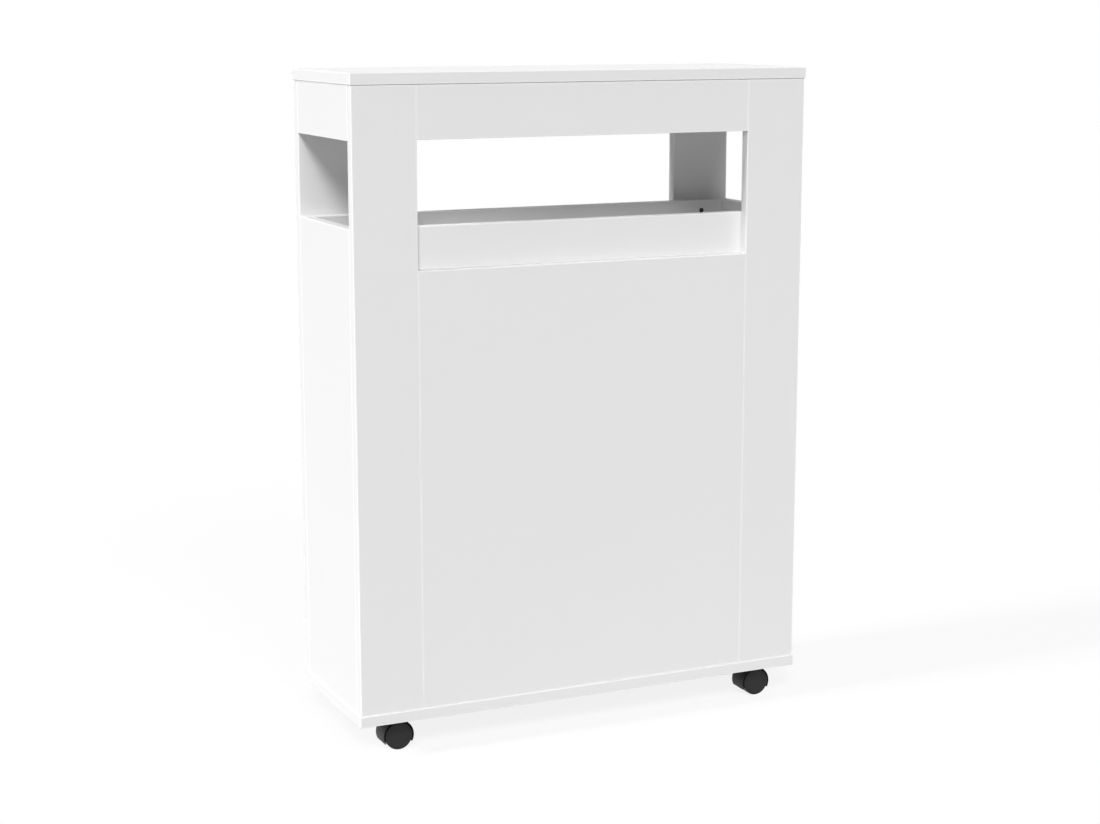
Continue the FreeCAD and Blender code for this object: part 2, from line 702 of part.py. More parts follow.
# Wheel: radius and distance from the middle plane of the caster.
WHEEL_BORE = "axle_diameter / 2 + axle_clearance"
WHEEL_INNER_WALL = "%s - wheel_face_wall" % WHEEL_OUTER_FACE
WHEEL_POINTS = (
    (WHEEL_BORE, WHEEL_INNER_FACE),
    ("wheel_hub_diameter / 2", WHEEL_INNER_FACE),
    ("wheel_hub_diameter / 2", WHEEL_INNER_WALL),
    (WHEEL_RADIUS + " - wheel_rim_wall", WHEEL_INNER_WALL),
    (WHEEL_RADIUS + " - wheel_rim_wall", WHEEL_INNER_FACE),
    (WHEEL_RADIUS + " - wheel_tread_bevel", WHEEL_INNER_FACE),
    (WHEEL_RADIUS, WHEEL_INNER_FACE + " + wheel_tread_bevel"),
    (WHEEL_RADIUS, WHEEL_OUTER_FACE + " - wheel_shoulder - wheel_dome"),
    (WHEEL_RADIUS + " - wheel_shoulder", WHEEL_OUTER_FACE + " - wheel_dome"),
    ("0", WHEEL_OUTER_FACE),
    ("0", WHEEL_INNER_WALL),
    (WHEEL_BORE, WHEEL_INNER_WALL),
)

# Pan head screw of the caster plates: underside of the head at the origin, shank upwards.
plate_screw_shank = cylinder("plate_screw_diameter / 2", "plate_screw_length")
plate_screw_head = cone(
    "plate_screw_head_diameter / 2",
    "plate_screw_head_diameter / 2 - plate_screw_head_height / 2",
    "plate_screw_head_height",
    direction=reverse(AXIS_Z),
)
plate_screw_solid = fused([plate_screw_shank, plate_screw_head])
plate_screw_recess = cross_recess("screw_recess_depth - plate_screw_head_height")
plate_screw_pattern = cut(plate_screw_solid, plate_screw_recess)
plate_screw_group, plate_screw_copies = copies("caster_screws")

for face, face_sign in FACES.items():
    for side, side_sign in SIDES.items():
        corner_name = "%s_%s" % (face, side)
        swivel_x = on_side(side_sign, "overall_length / 2 - caster_length_inset")
        swivel_y = on_side(face_sign, "overall_depth / 2 - caster_depth_inset")
        floor_point = (swivel_x, swivel_y, "0")
        axle_x = swivel_x + " + caster_trail"

        plate = plate_body(corner_name + "_caster_plate")
        set_point(plate, floor_point)
        hood = hood_body(corner_name + "_caster_hood")
        set_point(hood, floor_point)

        pin = turned_body(corner_name + "_caster_pin", PIN_POINTS)
        pin.Placement = FreeCAD.Placement(
            FreeCAD.Vector(), FreeCAD.Rotation(FreeCAD.Vector(*AXIS_Y), FreeCAD.Vector(*reverse(AXIS_Z)))
        )
        set_point(pin, (swivel_x, swivel_y, "caster_height"))

        washer = document.addObject("PartDesign::Body", corner_name + "_caster_washer")
        washer_point = ("0", "0", PLATE_FOOT)
        down = reverse(AXIS_Z)
        body_bar(
            washer, "AdditiveCylinder", "washer_diameter / 2", "washer_thickness", washer_point, down
        )
        washer_bore = "pin_diameter / 2 + pin_clearance"
        body_bar(washer, "SubtractiveCylinder", washer_bore, "washer_thickness", washer_point, down)
        set_point(washer, floor_point)

        axle = document.addObject("PartDesign::Body", corner_name + "_caster_axle")
        axle_start = ("0", "-" + AXLE_HALF, "0")
        body_bar(axle, "AdditiveCylinder", "axle_diameter / 2", "2 * " + AXLE_HALF, axle_start, AXIS_Y)
        set_point(axle, (axle_x, swivel_y, WHEEL_RADIUS))

        for wheel_side, wheel_sign in FACES.items():
            wheel = turned_body("%s_caster_%s_wheel" % (corner_name, wheel_side), WHEEL_POINTS)
            half_turn = 180.0 if wheel_sign < 0 else 0.0
            wheel.Placement = FreeCAD.Placement(
                FreeCAD.Vector(), FreeCAD.Rotation(FreeCAD.Vector(*AXIS_Z), half_turn)
            )
            set_point(wheel, (axle_x, swivel_y, WHEEL_RADIUS))
            nodes[wheel.Label] = wheel
        for piece in (plate, hood, pin, washer, axle):
            nodes[piece.Label] = piece

        for screw_side in SIDES.values():
            for screw_face in FACES.values():
                screw_x = "%s + %s" % (swivel_x, on_side(screw_side, HALF_SPACING))
                screw_y = "%s + %s" % (swivel_y, on_side(screw_face, HALF_SPACING))
                board_bore = cylinder(
                    "plate_screw_diameter / 2 + screw_clearance",
                    "plate_screw_length - plate_thickness + bore_end_clearance",
                    (screw_x, screw_y, "caster_height"),
                )
                bores["bottom_board"].append(board_bore)
                head_seat = (screw_x, screw_y, PLATE_FOOT)
                plate_screw_copies.append(copy_of(plate_screw_pattern, head_seat, facing(AXIS_Z)))

# Bored boards and finished groups.
for label, body in boards.items():
    piece = cut(body, bores[label]) if bores[label] else body
    piece.Label = label
    nodes[label] = piece
cam_group.Links = cam_copies
bolt_group.Links = bolt_copies
dowel_group.Links = dowel_copies
strip_screw_group.Links = strip_screw_copies
plate_screw_group.Links = plate_screw_copies
document.recompute()

for piece in document.Objects:
    if "Invalid" in piece.State or "Error" in piece.State:
        raise RuntimeError("object in error: %s %s" % (piece.Name, piece.State))

os.makedirs("parts", exist_ok=True)
for label, piece in nodes.items():
    shape = piece.Shape
    if shape.isNull() or not shape.isValid():
        raise RuntimeError("no valid shape: " + label)
    shape.exportStep("parts/%s.step" % label)
    print(label, len(shape.Solids), round(shape.Volume))
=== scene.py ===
# %% [markdown]
# # A rolling bathroom cabinet
# The cabinet is a narrow case of white laminated boards that stands on four black twin-wheel casters.
# The packed model already holds every piece at its true place and size. This lesson dresses it: boards
# get soft arrises, casters and fittings get their moulded and cast forms, and every finish is made of
# nodes. First the model is loaded, and its box is kept.

# %% Load the packed model
import json
import math
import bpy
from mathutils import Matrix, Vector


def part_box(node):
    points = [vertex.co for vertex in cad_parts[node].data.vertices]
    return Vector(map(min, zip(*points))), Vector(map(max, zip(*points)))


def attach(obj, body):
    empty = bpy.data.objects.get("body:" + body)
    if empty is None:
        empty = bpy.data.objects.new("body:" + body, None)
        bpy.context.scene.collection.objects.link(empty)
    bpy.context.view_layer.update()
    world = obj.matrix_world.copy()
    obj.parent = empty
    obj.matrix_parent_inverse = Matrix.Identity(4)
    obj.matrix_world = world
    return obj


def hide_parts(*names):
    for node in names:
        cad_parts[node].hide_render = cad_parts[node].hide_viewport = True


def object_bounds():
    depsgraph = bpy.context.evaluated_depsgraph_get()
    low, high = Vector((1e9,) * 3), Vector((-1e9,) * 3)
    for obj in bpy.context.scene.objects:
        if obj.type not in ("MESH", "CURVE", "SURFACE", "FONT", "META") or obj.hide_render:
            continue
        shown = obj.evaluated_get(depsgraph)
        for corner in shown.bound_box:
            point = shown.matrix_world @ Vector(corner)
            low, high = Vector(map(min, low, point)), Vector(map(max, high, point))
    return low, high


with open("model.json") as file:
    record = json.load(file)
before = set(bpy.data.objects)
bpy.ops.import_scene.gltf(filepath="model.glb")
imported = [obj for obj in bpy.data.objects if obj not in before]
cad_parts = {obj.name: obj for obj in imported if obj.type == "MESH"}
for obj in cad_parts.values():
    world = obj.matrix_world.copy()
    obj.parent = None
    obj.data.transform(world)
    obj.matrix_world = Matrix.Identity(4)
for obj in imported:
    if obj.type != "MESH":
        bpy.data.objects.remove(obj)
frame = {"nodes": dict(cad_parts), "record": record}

from types import SimpleNamespace

import bmesh
import bpy
from mathutils import Matrix, Vector

MM = 0.001
cad_low, cad_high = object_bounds()
slot_of = {part["node"]: part["material_slot"] for part in frame["record"]["subparts"]}
print("Cabinet in millimetres:", [round(size / MM, 1) for size in cad_high - cad_low])

# %% [markdown]
# ## Node trees written as Python
# Finishes and repeating shapes are both node trees. They could be placed and linked node by node, but
# that hides what they work out. So one small class wraps an output socket and lets it stand in a sum:
# `1 - mask` adds a Math node by itself.

# %% Sockets that do sums
class Socket:
    """An output of a node that can stand in a Python sum: each operator adds a Math node."""

    def __init__(self, nodes, socket):
        self.nodes = nodes
        self.socket = socket

    def math(self, operation, *terms):
        return self.nodes.add("ShaderNodeMath", dict(enumerate(terms)), operation=operation)

    def __add__(self, other):
        return self.math("ADD", self, other)

    def __sub__(self, other):
        return self.math("SUBTRACT", self, other)

    def __rsub__(self, other):
        return self.math("SUBTRACT", other, self)

    def __mul__(self, other):
        return self.math("MULTIPLY", self, other)

    def __truediv__(self, other):
        return self.math("DIVIDE", self, other)

    def __rtruediv__(self, other):
        return self.math("DIVIDE", other, self)

    def __gt__(self, other):
        return self.math("GREATER_THAN", self, other)

    def __or__(self, other):
        return self.math("MAXIMUM", self, other)

    __radd__ = __add__
    __rmul__ = __mul__
    __ror__ = __or__


print("Reflected operators:", sorted(name for name in vars(Socket) if name.startswith("__r")))

# %% [markdown]
# ### One method for every other node
# A tree needs many kinds of node besides sums. A class for each kind would be long, so one method adds
# any of them. It takes the node's type, then its settings, because they can change which sockets the
# node has, and last the values or links of those sockets.

# %% Nodes from one method
class Nodes:
    """A node tree that is filled from Python."""

    def __init__(self, tree):
        self.tree = tree

    def put(self, target, value):
        if isinstance(value, Socket):
            self.tree.links.new(value.socket, target)
        else:
            target.default_value = value

    def add(self, kind, inputs=None, output=0, stops=(), **settings):
        """Add a node: its settings and ramp stops first, then the values or links of its sockets."""
        node = self.tree.nodes.new(kind)
        for name, value in settings.items():
            setattr(node, name, value)
        for number, (place, colour) in enumerate(stops):
            ramp = node.color_ramp.elements
            stop = ramp[number] if number < len(ramp) else ramp.new(place)
            stop.position = place
            stop.color = colour
        for name, value in (inputs or {}).items():
            self.put(node.inputs[name], value)
        return Socket(self, node.outputs[output])

    def vector(self, operation, *terms):
        return self.add("ShaderNodeVectorMath", dict(enumerate(terms)), operation=operation)

    def scaled(self, vector, factor):
        return self.add("ShaderNodeVectorMath", {0: vector, "Scale": factor}, operation="SCALE")


print("A node tree can:", [name for name in vars(Nodes) if not name.startswith("__")])

# %% [markdown]
# ## Finishes
# A real surface is never one flat colour: a broad cloud shifts the tone a little, a fine grain breaks up
# the gloss, and a relief catches the light. Pictures of the materials could be wrapped round the pieces,
# but they need unwrapping and blur close up. Noise from nodes has neither fault. It reads Object
# coordinates, so a grain has a real size in metres and stays put when its piece moves.

# %% A finish with grain
# Places of the colour sockets on a Mix node
COLOUR_A = 6
COLOUR_B = 7
COLOUR_OUT = 2


def grey(level, warmth=0.0):
    """A neutral colour, or a slightly warm one."""
    return (level * (1 + warmth), level, level * (1 - warmth), 1.0)


class Finish(Nodes):
    """A material under construction; its constants go straight to the sockets of the shader."""

    def __init__(self, name, **constants):
        self.material = bpy.data.materials.new(name)
        self.material.use_nodes = True
        super().__init__(self.material.node_tree)
        self.surface = self.tree.nodes["Principled BSDF"].inputs
        self.place = self.add("ShaderNodeTexCoord", output="Object")
        for socket, value in constants.items():
            self.set(socket.replace("_", " "), value)

    def set(self, name, value):
        self.put(self.surface[name], value)

    def noise(self, size, detail=2.0, place=None):
        """Soft noise whose clouds are about one size across."""
        inputs = {"Vector": place or self.place, "Scale": 1 / size, "Detail": detail}
        return self.add("ShaderNodeTexNoise", inputs)

    def cells(self, size, output="Distance"):
        """Cells of one size, by distance from their middle or by a colour of their own."""
        return self.add("ShaderNodeTexVoronoi", {"Vector": self.place, "Scale": 1 / size}, output)

    def stretched(self, scale):
        return self.add("ShaderNodeMapping", {"Vector": self.place, "Scale": scale})

    def mix(self, share, first, second):
        inputs = {"Factor": share, COLOUR_A: first, COLOUR_B: second}
        return self.add("ShaderNodeMix", inputs, COLOUR_OUT, data_type="RGBA")

    def bump(self, height, depth, strength=1.0):
        inputs = {"Height": height, "Distance": depth, "Strength": strength}
        self.set("Normal", self.add("ShaderNodeBump", inputs))

    def done(self):
        """Say how many nodes the finish took, and hand over its material."""
        print(self.material.name, "takes", len(self.tree.nodes), "nodes")
        return self.material


print("A finish can:", [name for name in vars(Finish) if not name.startswith("__")])

# %% [markdown]
# ### White laminate
# The boards are faced with matt white melamine. Close up it has a fine pearl: shallow dimples well
# under a millimetre across. The tone drifts by about one part in a hundred over a hand's width. The
# edging tape is the same white, a touch glossier and a touch paler, and shows as a fine line along each
# edge; its paler tone is partly painted highlight, the bright line where rounded edges catch the light.
# Both are one function with two sets of values, so they stay akin.

# %% White laminate
LAMINATE_SPECULAR = 0.12
PEARL_SIZE = 0.8 * MM
PEARL_RELIEF = 0.02 * MM
DRIFT_SIZE = 220 * MM
DRIFT_TONE = 0.01
RUBBED_SIZE = 45 * MM
RUBBED_GLOSS = 0.08


def white_laminate(name, tone, roughness):
    finish = Finish(name, Specular_IOR_Level=LAMINATE_SPECULAR)
    pearl = finish.noise(PEARL_SIZE, detail=1.0)
    drift = finish.noise(DRIFT_SIZE, detail=3.0)
    rubbed = finish.noise(RUBBED_SIZE, detail=4.0)
    darker = grey(tone * (1 - DRIFT_TONE))
    paler = grey(tone * (1 + DRIFT_TONE), warmth=0.002)
    finish.set("Base Color", finish.mix(drift, darker, paler))
    finish.set("Roughness", roughness - RUBBED_GLOSS + RUBBED_GLOSS * pearl + RUBBED_GLOSS * rubbed)
    finish.bump(pearl, PEARL_RELIEF, strength=0.5)
    return finish.done()


FINISHES = {"white_laminate": white_laminate("white_laminate", tone=0.80, roughness=0.50)}
# Edging tape, a touch glossier; its paler tone is partly painted highlight along edges and seams.
edging_and_highlight_finish = white_laminate("white_edging", tone=0.865, roughness=0.34)

# %% [markdown]
# ### Raw board core
# A bore opens the board and shows its core: pressed wood chips in several browns with dark gaps. Cells
# do this better than noise, because every chip has one colour of its own and a border.

# %% Raw board core
CHIP_SIZE = 1.6 * MM
CHIP_RELIEF = 0.2 * MM
DARK_CHIP = (0.30, 0.19, 0.10, 1.0)
PALE_CHIP = (0.55, 0.40, 0.24, 1.0)


def board_core():
    finish = Finish("board_core", Roughness=0.9)
    chip = finish.cells(CHIP_SIZE, "Color")
    gap = finish.cells(CHIP_SIZE)
    tint = finish.add("ShaderNodeSeparateColor", {"Color": chip}, "Red")
    finish.set("Base Color", finish.mix(tint, DARK_CHIP, PALE_CHIP))
    finish.bump(1 - gap, CHIP_RELIEF)
    return finish.done()


core_finish = board_core()

# %% [markdown]
# ### Black mouldings
# The hoods come from a spark-eroded mould, which leaves a fine even grain, and the thrust washers share
# it. The wheels are smoother and a little glossier. Black plastic on a white ground is mostly reflection,
# so its own colour is very dark and its specular level is low, a plain number on the shader's own socket.

# %% Black mouldings
MOULDING_SPECULAR = 0.32
MOULDING_DRIFT_SIZE = 14 * MM
MOULDING_TONE = 0.15
GRAIN_GLOSS = 0.12
DRIFT_GLOSS = 0.06


def black_moulding(name, tone, roughness, grain, relief):
    finish = Finish(name, Specular_IOR_Level=MOULDING_SPECULAR)
    texture = finish.noise(grain, detail=3.0)
    drift = finish.noise(MOULDING_DRIFT_SIZE, detail=3.0)
    darker = grey(tone * (1 - MOULDING_TONE))
    paler = grey(tone * (1 + MOULDING_TONE))
    finish.set("Base Color", finish.mix(drift, darker, paler))
    finish.set("Roughness", roughness - DRIFT_GLOSS + GRAIN_GLOSS * texture + DRIFT_GLOSS * drift)
    finish.bump(texture, relief, strength=0.6)
    return finish.done()


FINISHES["black_plastic"] = black_moulding(
    "black_hood", tone=0.016, roughness=0.50, grain=0.35 * MM, relief=0.03 * MM
)
FINISHES["black_tread"] = black_moulding(
    "black_wheel", tone=0.011, roughness=0.44, grain=0.6 * MM, relief=0.012 * MM
)

# %% [markdown]
# ### Cast zinc
# The cam discs are die-cast zinc, dull and slightly mottled. Bolts, caster plates and their screws are
# plated with zinc and share the finish. One noise drives tone, gloss and relief, as on the real metal,
# where the pale spots are also the rough ones.

# %% Cast zinc
MOTTLE_SIZE = 1.1 * MM
MOTTLE_RELIEF = 0.04 * MM
DARK_ZINC = grey(0.42)
PALE_ZINC = grey(0.66, warmth=0.01)
ZINC_ROUGHNESS = 0.32
MOTTLE_ROUGHNESS = 0.26


def cast_zinc():
    finish = Finish("cast_zinc", Metallic=1.0)
    mottle = finish.noise(MOTTLE_SIZE, detail=5.0)
    finish.set("Base Color", finish.mix(mottle, DARK_ZINC, PALE_ZINC))
    finish.set("Roughness", ZINC_ROUGHNESS + MOTTLE_ROUGHNESS * mottle)
    finish.bump(mottle, MOTTLE_RELIEF, strength=0.6)
    return finish.done()


FINISHES["zinc"] = cast_zinc()

# %% [markdown]
# ### Plated steel
# The swivel pins and axles are bright plated steel with fine drawn lines and a faint bloom. The lines are
# the same noise as any grain, stretched along the metal by a Mapping node.

# %% Plated steel
LINE_SIZE = 0.5 * MM
LINE_STRETCH = (0.05, 1.0, 1.0)
LINE_RELIEF = 0.01 * MM
BLOOM_SIZE = 6 * MM
DARK_STEEL = grey(0.50)
PALE_STEEL = grey(0.68, warmth=0.015)
STEEL_ROUGHNESS = 0.22
LINE_ROUGHNESS = 0.16
BLOOM_ROUGHNESS = 0.1


def plated_steel():
    finish = Finish("plated_steel", Metallic=1.0)
    lines = finish.noise(LINE_SIZE, detail=2.0, place=finish.stretched(LINE_STRETCH))
    bloom = finish.noise(BLOOM_SIZE, detail=4.0)
    finish.set("Base Color", finish.mix(bloom, DARK_STEEL, PALE_STEEL))
    finish.set("Roughness", STEEL_ROUGHNESS + LINE_ROUGHNESS * lines + BLOOM_ROUGHNESS * bloom)
    finish.bump(lines, LINE_RELIEF, strength=0.5)
    return finish.done()


FINISHES["steel"] = plated_steel()

# %% [markdown]
# ### Black screws
# The strip screws are blackened, with bare metal showing through in specks. A ramp picks the peaks of a
# noise as specks, and they change colour and metal together.

# %% Black screws
WEAR_SIZE = 0.7 * MM
WEAR_RELIEF = 0.02 * MM
WEAR_STOPS = [(0.62, grey(0.0)), (0.78, grey(1.0))]
BLACKENED = grey(0.018)
BARE_METAL = grey(0.30)
SCREW_METAL = 0.35
SPECK_METAL = 0.5
SCREW_ROUGHNESS = 0.42
WEAR_ROUGHNESS = 0.15


def black_screw():
    finish = Finish("black_screw")
    wear = finish.noise(WEAR_SIZE, detail=5.0)
    speck = finish.add("ShaderNodeValToRGB", {"Fac": wear}, stops=WEAR_STOPS)
    share = finish.add("ShaderNodeRGBToBW", {"Color": speck})
    finish.set("Base Color", finish.mix(speck, BLACKENED, BARE_METAL))
    finish.set("Metallic", SCREW_METAL + SPECK_METAL * share)
    finish.set("Roughness", SCREW_ROUGHNESS + WEAR_ROUGHNESS * wear)
    finish.bump(wear, WEAR_RELIEF, strength=0.4)
    return finish.done()


FINISHES["black_screw"] = black_screw()

# %% [markdown]
# ### Beech
# The dowels that line the boards up are turned from beech: pale, with short dark flecks along the grain.
# Growth rings would not show on so thin a peg, so two stretched noises are enough.

# %% Beech
GRAIN_SIZE = 2.5 * MM
GRAIN_STRETCH = (1.0, 0.2, 1.0)
FLECK_SIZE = 0.6 * MM
FLECK_STRETCH = (1.0, 0.1, 1.0)
FLECK_SHARE = 0.5
BEECH_RELIEF = 0.05 * MM
PALE_BEECH = (0.66, 0.46, 0.29, 1.0)
DARK_BEECH = (0.50, 0.32, 0.18, 1.0)


def beech():
    finish = Finish("beech", Roughness=0.6)
    grain = finish.noise(GRAIN_SIZE, detail=4.0, place=finish.stretched(GRAIN_STRETCH))
    fleck = finish.noise(FLECK_SIZE, detail=2.0, place=finish.stretched(FLECK_STRETCH))
    finish.set("Base Color", finish.mix(grain, PALE_BEECH, DARK_BEECH))
    finish.bump(grain + FLECK_SHARE * fleck, BEECH_RELIEF)
    return finish.done()


FINISHES["beech"] = beech()
print("Finishes:", sorted(FINISHES))

# %% [markdown]
# ## Shapes from node trees
# Boards and fittings repeat. Each could be modelled by hand, but then a new size means new work, so each
# kind is a Geometry Nodes tree with named inputs: the rule is written once, and the inputs do the rest.

# %% Begin and end a shape tree
def shape_tree(name, **inputs):
    """New shape tree: its nodes, and one socket for the geometry and for each named input."""
    tree = bpy.data.node_groups.new(name, "GeometryNodeTree")
    tree.interface.new_socket("Geometry", in_out="OUTPUT", socket_type="NodeSocketGeometry")
    tree.interface.new_socket("Geometry", in_out="INPUT", socket_type="NodeSocketGeometry")
    for label, kind in inputs.items():
        tree.interface.new_socket(label, in_out="INPUT", socket_type="NodeSocket" + kind)
    nodes = Nodes(tree)
    start = tree.nodes.new("NodeGroupInput")
    sockets = {socket.name: Socket(nodes, socket) for socket in start.outputs if socket.name}
    return nodes, SimpleNamespace(**sockets)


def end_tree(nodes, geometry):
    end = nodes.tree.nodes.new("NodeGroupOutput")
    nodes.put(end.inputs["Geometry"], geometry)
    return nodes.tree


print("Shape trees so far:", len(bpy.data.node_groups))

# %% [markdown]
# ### From a tree to a plain mesh
# A tree runs as a modifier, and a live modifier can still change, or get lost on export. So the tree runs
# once, its result becomes the piece's own mesh, and the modifier goes. A modifier's inputs are set by
# their identifiers, which stay the same whatever the inputs are called.

# %% Run a shape tree once
def linked(name, mesh):
    piece = bpy.data.objects.new(name, mesh)
    bpy.context.scene.collection.objects.link(piece)
    return piece


def baked(piece):
    """Turn what the modifiers make into the piece's own mesh."""
    depsgraph = bpy.context.evaluated_depsgraph_get()
    mesh = bpy.data.meshes.new_from_object(piece.evaluated_get(depsgraph))
    piece.modifiers.clear()
    piece.data = mesh
    return piece


def grown(name, tree, points, **values):
    """Run a shape tree on a piece's points and keep the mesh that it makes."""
    piece = linked(name, points)
    modifier = piece.modifiers.new(tree.name, "NODES")
    modifier.node_group = tree
    for item in tree.interface.items_tree:
        if item.in_out == "INPUT" and item.name in values:
            modifier[item.identifier] = values[item.name]
    return baked(piece)


# %% [markdown]
# ## Where the fittings sit
# The frame keeps all cam discs in one node and all strip screws in another. Their places could be typed
# in again, but then a change of the model would leave them behind. So each solid of such a node is found
# by walking over its connected points, and its box says where it sits.

# %% Find the separate solids of a node
WELD = 0.01 * MM


def solids_of(node):
    """Lowest and highest corner of each separate solid of a node."""
    shape = bmesh.new()
    shape.from_mesh(frame["nodes"][node].data)
    bmesh.ops.remove_doubles(shape, verts=shape.verts, dist=WELD)
    waiting = set(shape.verts)
    boxes = []
    while waiting:
        front = [waiting.pop()]
        found = []
        while front:
            vertex = front.pop()
            found.append(vertex.co.copy())
            near = {edge.other_vert(vertex) for edge in vertex.link_edges} & waiting
            waiting -= near
            front.extend(near)
        low = Vector(min(point[axis] for point in found) for axis in range(3))
        high = Vector(max(point[axis] for point in found) for axis in range(3))
        boxes.append((low, high))
    shape.free()
    return sorted(boxes, key=lambda box: tuple(box[0]))


cam_boxes = solids_of("cam_discs")
print("Cam discs found:", len(cam_boxes))

# %% [markdown]
# ### Cam discs in their boards
# A cam disc sits in a bore of the board that it pulls tight, and its slot is flush with a face of that
# board. So the side of its box that lies in a face of the board tells which way the disc looks.

# %% Seat the cam discs
FLUSH = 0.05 * MM


def inside(box, low, high):
    return all(low[axis] - FLUSH < box[0][axis] and box[1][axis] < high[axis] + FLUSH for axis in range(3))


def along(axis, sign):
    """Direction along one of the three axes."""
    return Vector([sign if number == axis else 0 for number in range(3)])


def flush_face(box, low, high):
    """Middle and direction of the side of a solid that lies in a face of its board."""
    for axis in range(3):
        for sign, own, face in ((-1, box[0], low), (1, box[1], high)):
            if abs(own[axis] - face[axis]) < FLUSH:
                middle = (box[0] + box[1]) / 2
                middle[axis] = own[axis]
                return middle, along(axis, sign)
    return None


BOARDS = sorted(node for node, slot in slot_of.items() if slot == "white_laminate")
cams_in = {}
for board in BOARDS:
    board_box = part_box(board)
    held = [flush_face(box, *board_box) for box in cam_boxes if inside(box, *board_box)]
    cams_in[board] = [place for place in held if place]
print("Cam discs seated:", sum(len(places) for places in cams_in.values()), "in", len(BOARDS), "boards")

# %% [markdown]
# ### Screws
# Strips and lips are screwed on from inside the case, so the heads of their screws are at the end nearer
# to the middle. The screws of the caster plates are driven upwards and have their heads at the lower end.
# A strip screw also needs a seat in its board, so the board whose face it is flush with is noted.

# %% Find the screws
ACROSS = 1
UPWARDS = 2


def screw_places(node, axis, head_side):
    """Middle of each head and the direction it faces; head_side picks the end from the two levels."""
    places = []
    for low, high in solids_of(node):
        level = head_side(low[axis], high[axis])
        point = (low + high) / 2
        point[axis] = level
        places.append((point, along(axis, 1 if level == high[axis] else -1)))
    return places


strip_screws = screw_places("strip_screws", ACROSS, lambda low, high: min(low, high, key=abs))
caster_screws = screw_places("caster_screws", UPWARDS, min)
screws_in = {board: [] for board in BOARDS}
for point, direction in strip_screws:
    for board in BOARDS:
        low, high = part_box(board)
        if inside((point, point), low, high) and flush_face((point, point), low, high):
            screws_in[board].append((point, direction))
print("Strip screws:", len(strip_screws), "caster screws:", len(caster_screws))

# %% [markdown]
# ## Boards
# Every board is a flat box with soft edges, and where a fitting sits it has a bore: straight for a cam
# disc, tapered for the head of a screw. The tree sets a plug on every point, turned along the direction
# that the point carries, to be cut out of the board. The plug reaches past the face, so that the cut
# leaves no skin.

# %% Plugs for the bores
BORE_SIDES = 48


def bores(nodes, given):
    """Tapered plugs at the points of the piece, along their directions."""
    widening = (given.MouthRadius - given.FootRadius) / given.BoreDepth * given.Overrun
    inputs = {
        "Vertices": BORE_SIDES, "Radius Top": given.MouthRadius + widening,
        "Radius Bottom": given.FootRadius, "Depth": given.BoreDepth + given.Overrun,
    }
    plug = nodes.add("GeometryNodeMeshCone", inputs)
    down = nodes.add("ShaderNodeCombineXYZ", {"Z": 0 - given.BoreDepth})
    plug = nodes.add("GeometryNodeTransform", {"Geometry": plug, "Translation": down})
    axis = nodes.add("GeometryNodeInputNamedAttribute", {"Name": "axis"}, data_type="FLOAT_VECTOR")
    turn = nodes.add("FunctionNodeAlignRotationToVector", {"Vector": axis}, axis="Z")
    inputs = {"Points": given.Geometry, "Instance": plug, "Rotation": turn}
    plugs = nodes.add("GeometryNodeInstanceOnPoints", inputs)
    return nodes.add("GeometryNodeRealizeInstances", {"Geometry": plugs})


print("Bores have", BORE_SIDES, "sides")

# %% [markdown]
# ### Soft arrises
# The edging tape is scraped round after it is glued on. A Bevel modifier could round the edges too, but
# would not mark where the pale band ends. Here a cube gets a few extra rows of points along its edges.
# Counted from the edge, the first rows bend round a small ball, and the next one is the inner border of
# the band: tape, painted a touch paler as a highlight along each edge and seam.

# %% Round the block
ONE = (1.0, 1.0, 1.0)
NONE = (0.0, 0.0, 0.0)
CUBE_SIZE = (2.0, 2.0, 2.0)


def rounded_block(nodes, given, half):
    """Cube with its outer rows of points bent round the arris, set to the size of the board."""
    rows = given.Steps * 2 + 4
    inputs = {"Size": CUBE_SIZE, "Vertices X": rows, "Vertices Y": rows, "Vertices Z": rows}
    cube = nodes.add("GeometryNodeMeshCube", inputs)
    unit = nodes.add("GeometryNodeInputPosition")
    side = nodes.vector("SIGN", unit)
    from_edge = nodes.vector("SUBTRACT", ONE, nodes.vector("ABSOLUTE", unit))
    row = nodes.scaled(from_edge, (rows - 1) / 2)
    bent = nodes.vector("SUBTRACT", ONE, nodes.scaled(row, 1 / given.Steps))
    angle = nodes.scaled(nodes.vector("MAXIMUM", bent, NONE), math.pi / 4)
    lean = nodes.vector("MULTIPLY", side, nodes.vector("TANGENT", angle))
    ball = nodes.scaled(nodes.vector("NORMALIZE", lean), given.Arris)
    # Rows past the arris up to here form the pale band: tape, and a painted highlight along the edge.
    past_tape_and_highlight = nodes.vector("MAXIMUM", nodes.vector("SUBTRACT", row, given.Steps), NONE)
    inset = nodes.vector("ADD", nodes.scaled(past_tape_and_highlight, given.Edging), given.Arris)
    inner = nodes.vector("MULTIPLY", side, nodes.vector("SUBTRACT", half, inset))
    place = nodes.vector("ADD", given.Centre, nodes.vector("ADD", inner, ball))
    return nodes.add("GeometryNodeSetPosition", {"Geometry": cube, "Position": place})


print("Block starts as a cube of", CUBE_SIZE)

# %% [markdown]
# ### Laminate, tape with painted highlight, and core
# A board shows three materials. They could be painted on by hand, but where a face lies already tells
# which it is: near the surface in two directions means tape, painted a touch paler as a highlight along
# the edge; deep in all three means the wall of a bore; and everything else is laminate.

# %% Face the board
NEAR_TWO_SIDES = 1.5
DEEP_ALL_ROUND = 2.5


